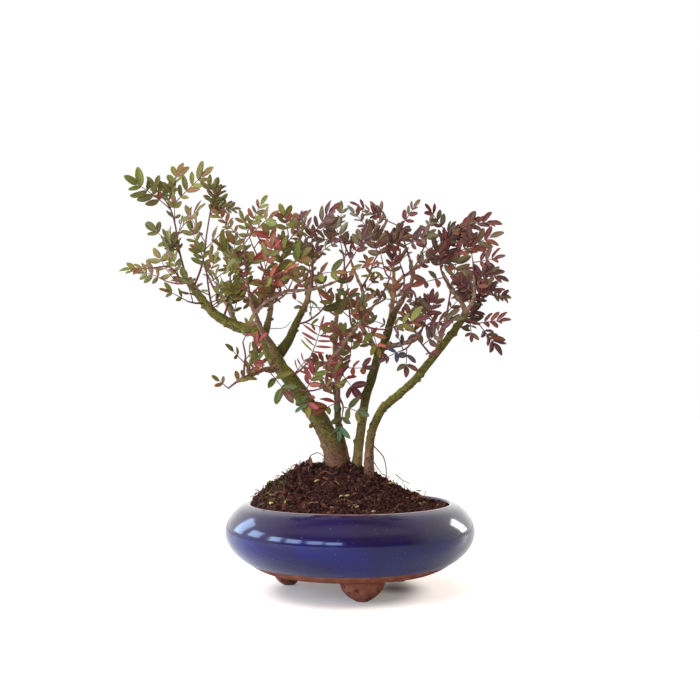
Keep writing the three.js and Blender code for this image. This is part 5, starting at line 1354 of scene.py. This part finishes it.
# how thick a wire still is at its end, as a share of its foot
WIRE_STEPS, WIRE_SIDES, WIRE_TIP = 24, 6, 0.6
hair_bark = Finish("dark_root_bark")
hair_bark.shade(
    hair_bark.blend(hair_bark.mottle(2, 3), paint(58, 40, 34), paint(104, 78, 64)),
    0.8,
    hair_bark.relief(hair_bark.mottle(0.6, 3), 0.08),
)
bench, given = tree_of("wire", {"Sides": "Int"})
finish_tree(bench, round_wood(bench, given["Geometry"], given["Sides"]), hair_bark)
points, edges, thick = [], [], []
for radius, rows in WIRES.values():
    edges += [(len(points) + k, len(points) + k + 1) for k in range(WIRE_STEPS)]
    points += [*smooth_line(rows, WIRE_STEPS)]
    thick += [*np.linspace(radius, radius * WIRE_TIP, WIRE_STEPS + 1) * MM]
wires = placed("bare_twigs_and_roots", points, [], edges)
carry(wires.data, "thick", thick)
grown(wires, bench, {"Sides": WIRE_SIDES})
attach(wires, "root")

# The studio
# A plain pale table in a bright white room with its windows on the left. The room behind the
# camera is dimmer, which leaves the upper half of the glaze dark.
CAMERA_AWAY, CAMERA_HEIGHT = 1.0, 0.185
FOCAL_PIXELS, PICTURE_PIXELS, HORIZON_PIXELS = 1180, 700, 20
SENSOR = 36


def lamp(name, spot, size, power, colour=(1, 1, 1), mirrored=True):
    """A soft rectangular lamp that faces the pot. mirrored says whether the glaze reflects it."""
    data = bpy.data.lights.new(name, "AREA")
    data.shape = "RECTANGLE"
    data.size, data.size_y = size
    data.energy, data.color = power, colour
    light = bpy.data.objects.new(name, data)
    light.location = Vector(spot) + Vector(POT_AXIS)
    light.rotation_euler = (Vector((0, 0, 0.1)) - Vector(spot)).to_track_quat("-Z", "Y").to_euler()
    light.visible_glossy = mirrored
    bpy.context.scene.collection.objects.link(light)


WARM, DAYLIGHT = (1, 0.945, 0.86), (0.45, 0.64, 1)
lamp("ceiling", (-0.2, -0.3, 1.9), (1.8, 1.8), 35, WARM, mirrored=False)
lamp("window_soft", (-1.3, -0.9, 1.1), (0.9, 0.9), 23, WARM, mirrored=False)
lamp("front_fill", (0.9, -1.6, 0.9), (1.0, 1.0), 5, WARM, mirrored=False)
# the panes of the long window on the left: bearing, height, width, depth and power
PANES = [
    (148, 0.6, 0.46, 0.8, 7), (174, 0.56, 0.46, 0.5, 7), (200, 0.47, 0.36, 0.44, 7.5),
    (219, 0.46, 0.4, 0.4, 6.5), (239, 0.45, 0.4, 0.36, 5), (256, 0.42, 0.4, 0.3, 4.5),
]
PANES_AWAY = 1.6
for k, (bearing, height, wide, tall, power) in enumerate(PANES):
    c, s = heading(bearing)
    lamp(f"pane_{k}", (PANES_AWAY * c, PANES_AWAY * s, height), (wide, tall), power, DAYLIGHT)
lamp("right_window", (1.26, 0.92, 0.52), (0.28, 0.6), 9)

scene = bpy.context.scene
scene.view_settings.view_transform = "Standard"
world = bpy.data.worlds.new("white_room")
scene.world = world
world.use_nodes = True
world.node_tree.nodes.clear()
room = Bench(world.node_tree)
aside, depth, upward = room.parts(room.make("ShaderNodeTexCoord"))
lit = room.step(depth, -0.6, 0.5, 0.12, 0.55)
# the glaze mirrors the bright walls at its sides and back, and the ceiling in front
walls = room.step(depth + abs(aside), 0.1, 0.9, 0.1, 1.05)
walls = walls + room.step(0 - depth, 0.08, 0.3) * room.step(upward, 0.58, 0.8) * 0.6
walls = walls + room.step(aside, 0.3, 0.5) * room.step(upward, 0.18, 0.42) * 0.15
camera_sees = room.make("ShaderNodeLightPath")
glaze_sees = camera_sees.beside("Is Glossy Ray")
strength = camera_sees + (1 - camera_sees) * (glaze_sees * walls + (1 - glaze_sees) * lit)
light = room.make("ShaderNodeBackground", (), {"Color": (1, 1, 1, 1), "Strength": strength})
room.make("ShaderNodeOutputWorld", (), {0: light})

# the table glows, and only the camera sees it: painted light that leaves it nearly white outside the pot's
# shadow, while less glow near the pot makes a painted shadow, darkest just right of the pot's middle
TABLE_HALF = 3000
SHADOW_MIDDLE = (float(POT_AXIS[0]) - 0.004, float(POT_AXIS[1]) - 0.005, 0)
DARKEST = (float(POT_AXIS[0]) + 0.038, float(POT_AXIS[1]), 0)
table = Finish("pale_table")
away = table.vector("MULTIPLY", table.vector("SUBTRACT", table.spot, SHADOW_MIDDLE), (1, 0.76, 1))
away = table.vector("LENGTH", away)
off = table.vector("LENGTH", table.vector("SUBTRACT", table.spot, DARKEST))
glow = table.step(off, 0.0, 0.036) * 0.2 + table.step(away, 0.048, 0.078) * 0.5
glow = glow - table.step(away, 0.12, 0.2) * 0.35 + table.step(away, 0.6, 2) * 0.5
glow = glow * table.make("ShaderNodeLightPath")
sockets = {
    "Base Color": table.blend(table.mottle(120, 2) * 0.3, paint(200, 199, 199), paint(194, 194, 196)),
    "Roughness": 0.5,
    "Emission Color": table.blend(glow, paint(0, 0, 0), paint(255, 242, 228)),
    "Emission Strength": 1.0,
}
table.make("ShaderNodeOutputMaterial", (), {0: table.make("ShaderNodeBsdfPrincipled", (), sockets)})
corners = [(x * TABLE_HALF, y * TABLE_HALF, 0) for x, y in ((-1, -1), (1, -1), (1, 1), (-1, 1))]
floor = placed("table_top", corners, [(0, 1, 2, 3)])
table.dress(floor)

eye = bpy.data.cameras.new("photo_view")
eye.sensor_width, eye.lens = SENSOR, SENSOR * FOCAL_PIXELS / PICTURE_PIXELS
eye.shift_y = HORIZON_PIXELS / PICTURE_PIXELS
eye.clip_start, eye.clip_end = 0.01, 20
camera = bpy.data.objects.new("photo_view", eye)
camera.location = (POT_AXIS[0], POT_AXIS[1] - CAMERA_AWAY, CAMERA_HEIGHT)
camera.rotation_euler = (math.pi / 2, 0, 0)
scene.collection.objects.link(camera)
scene.camera = camera
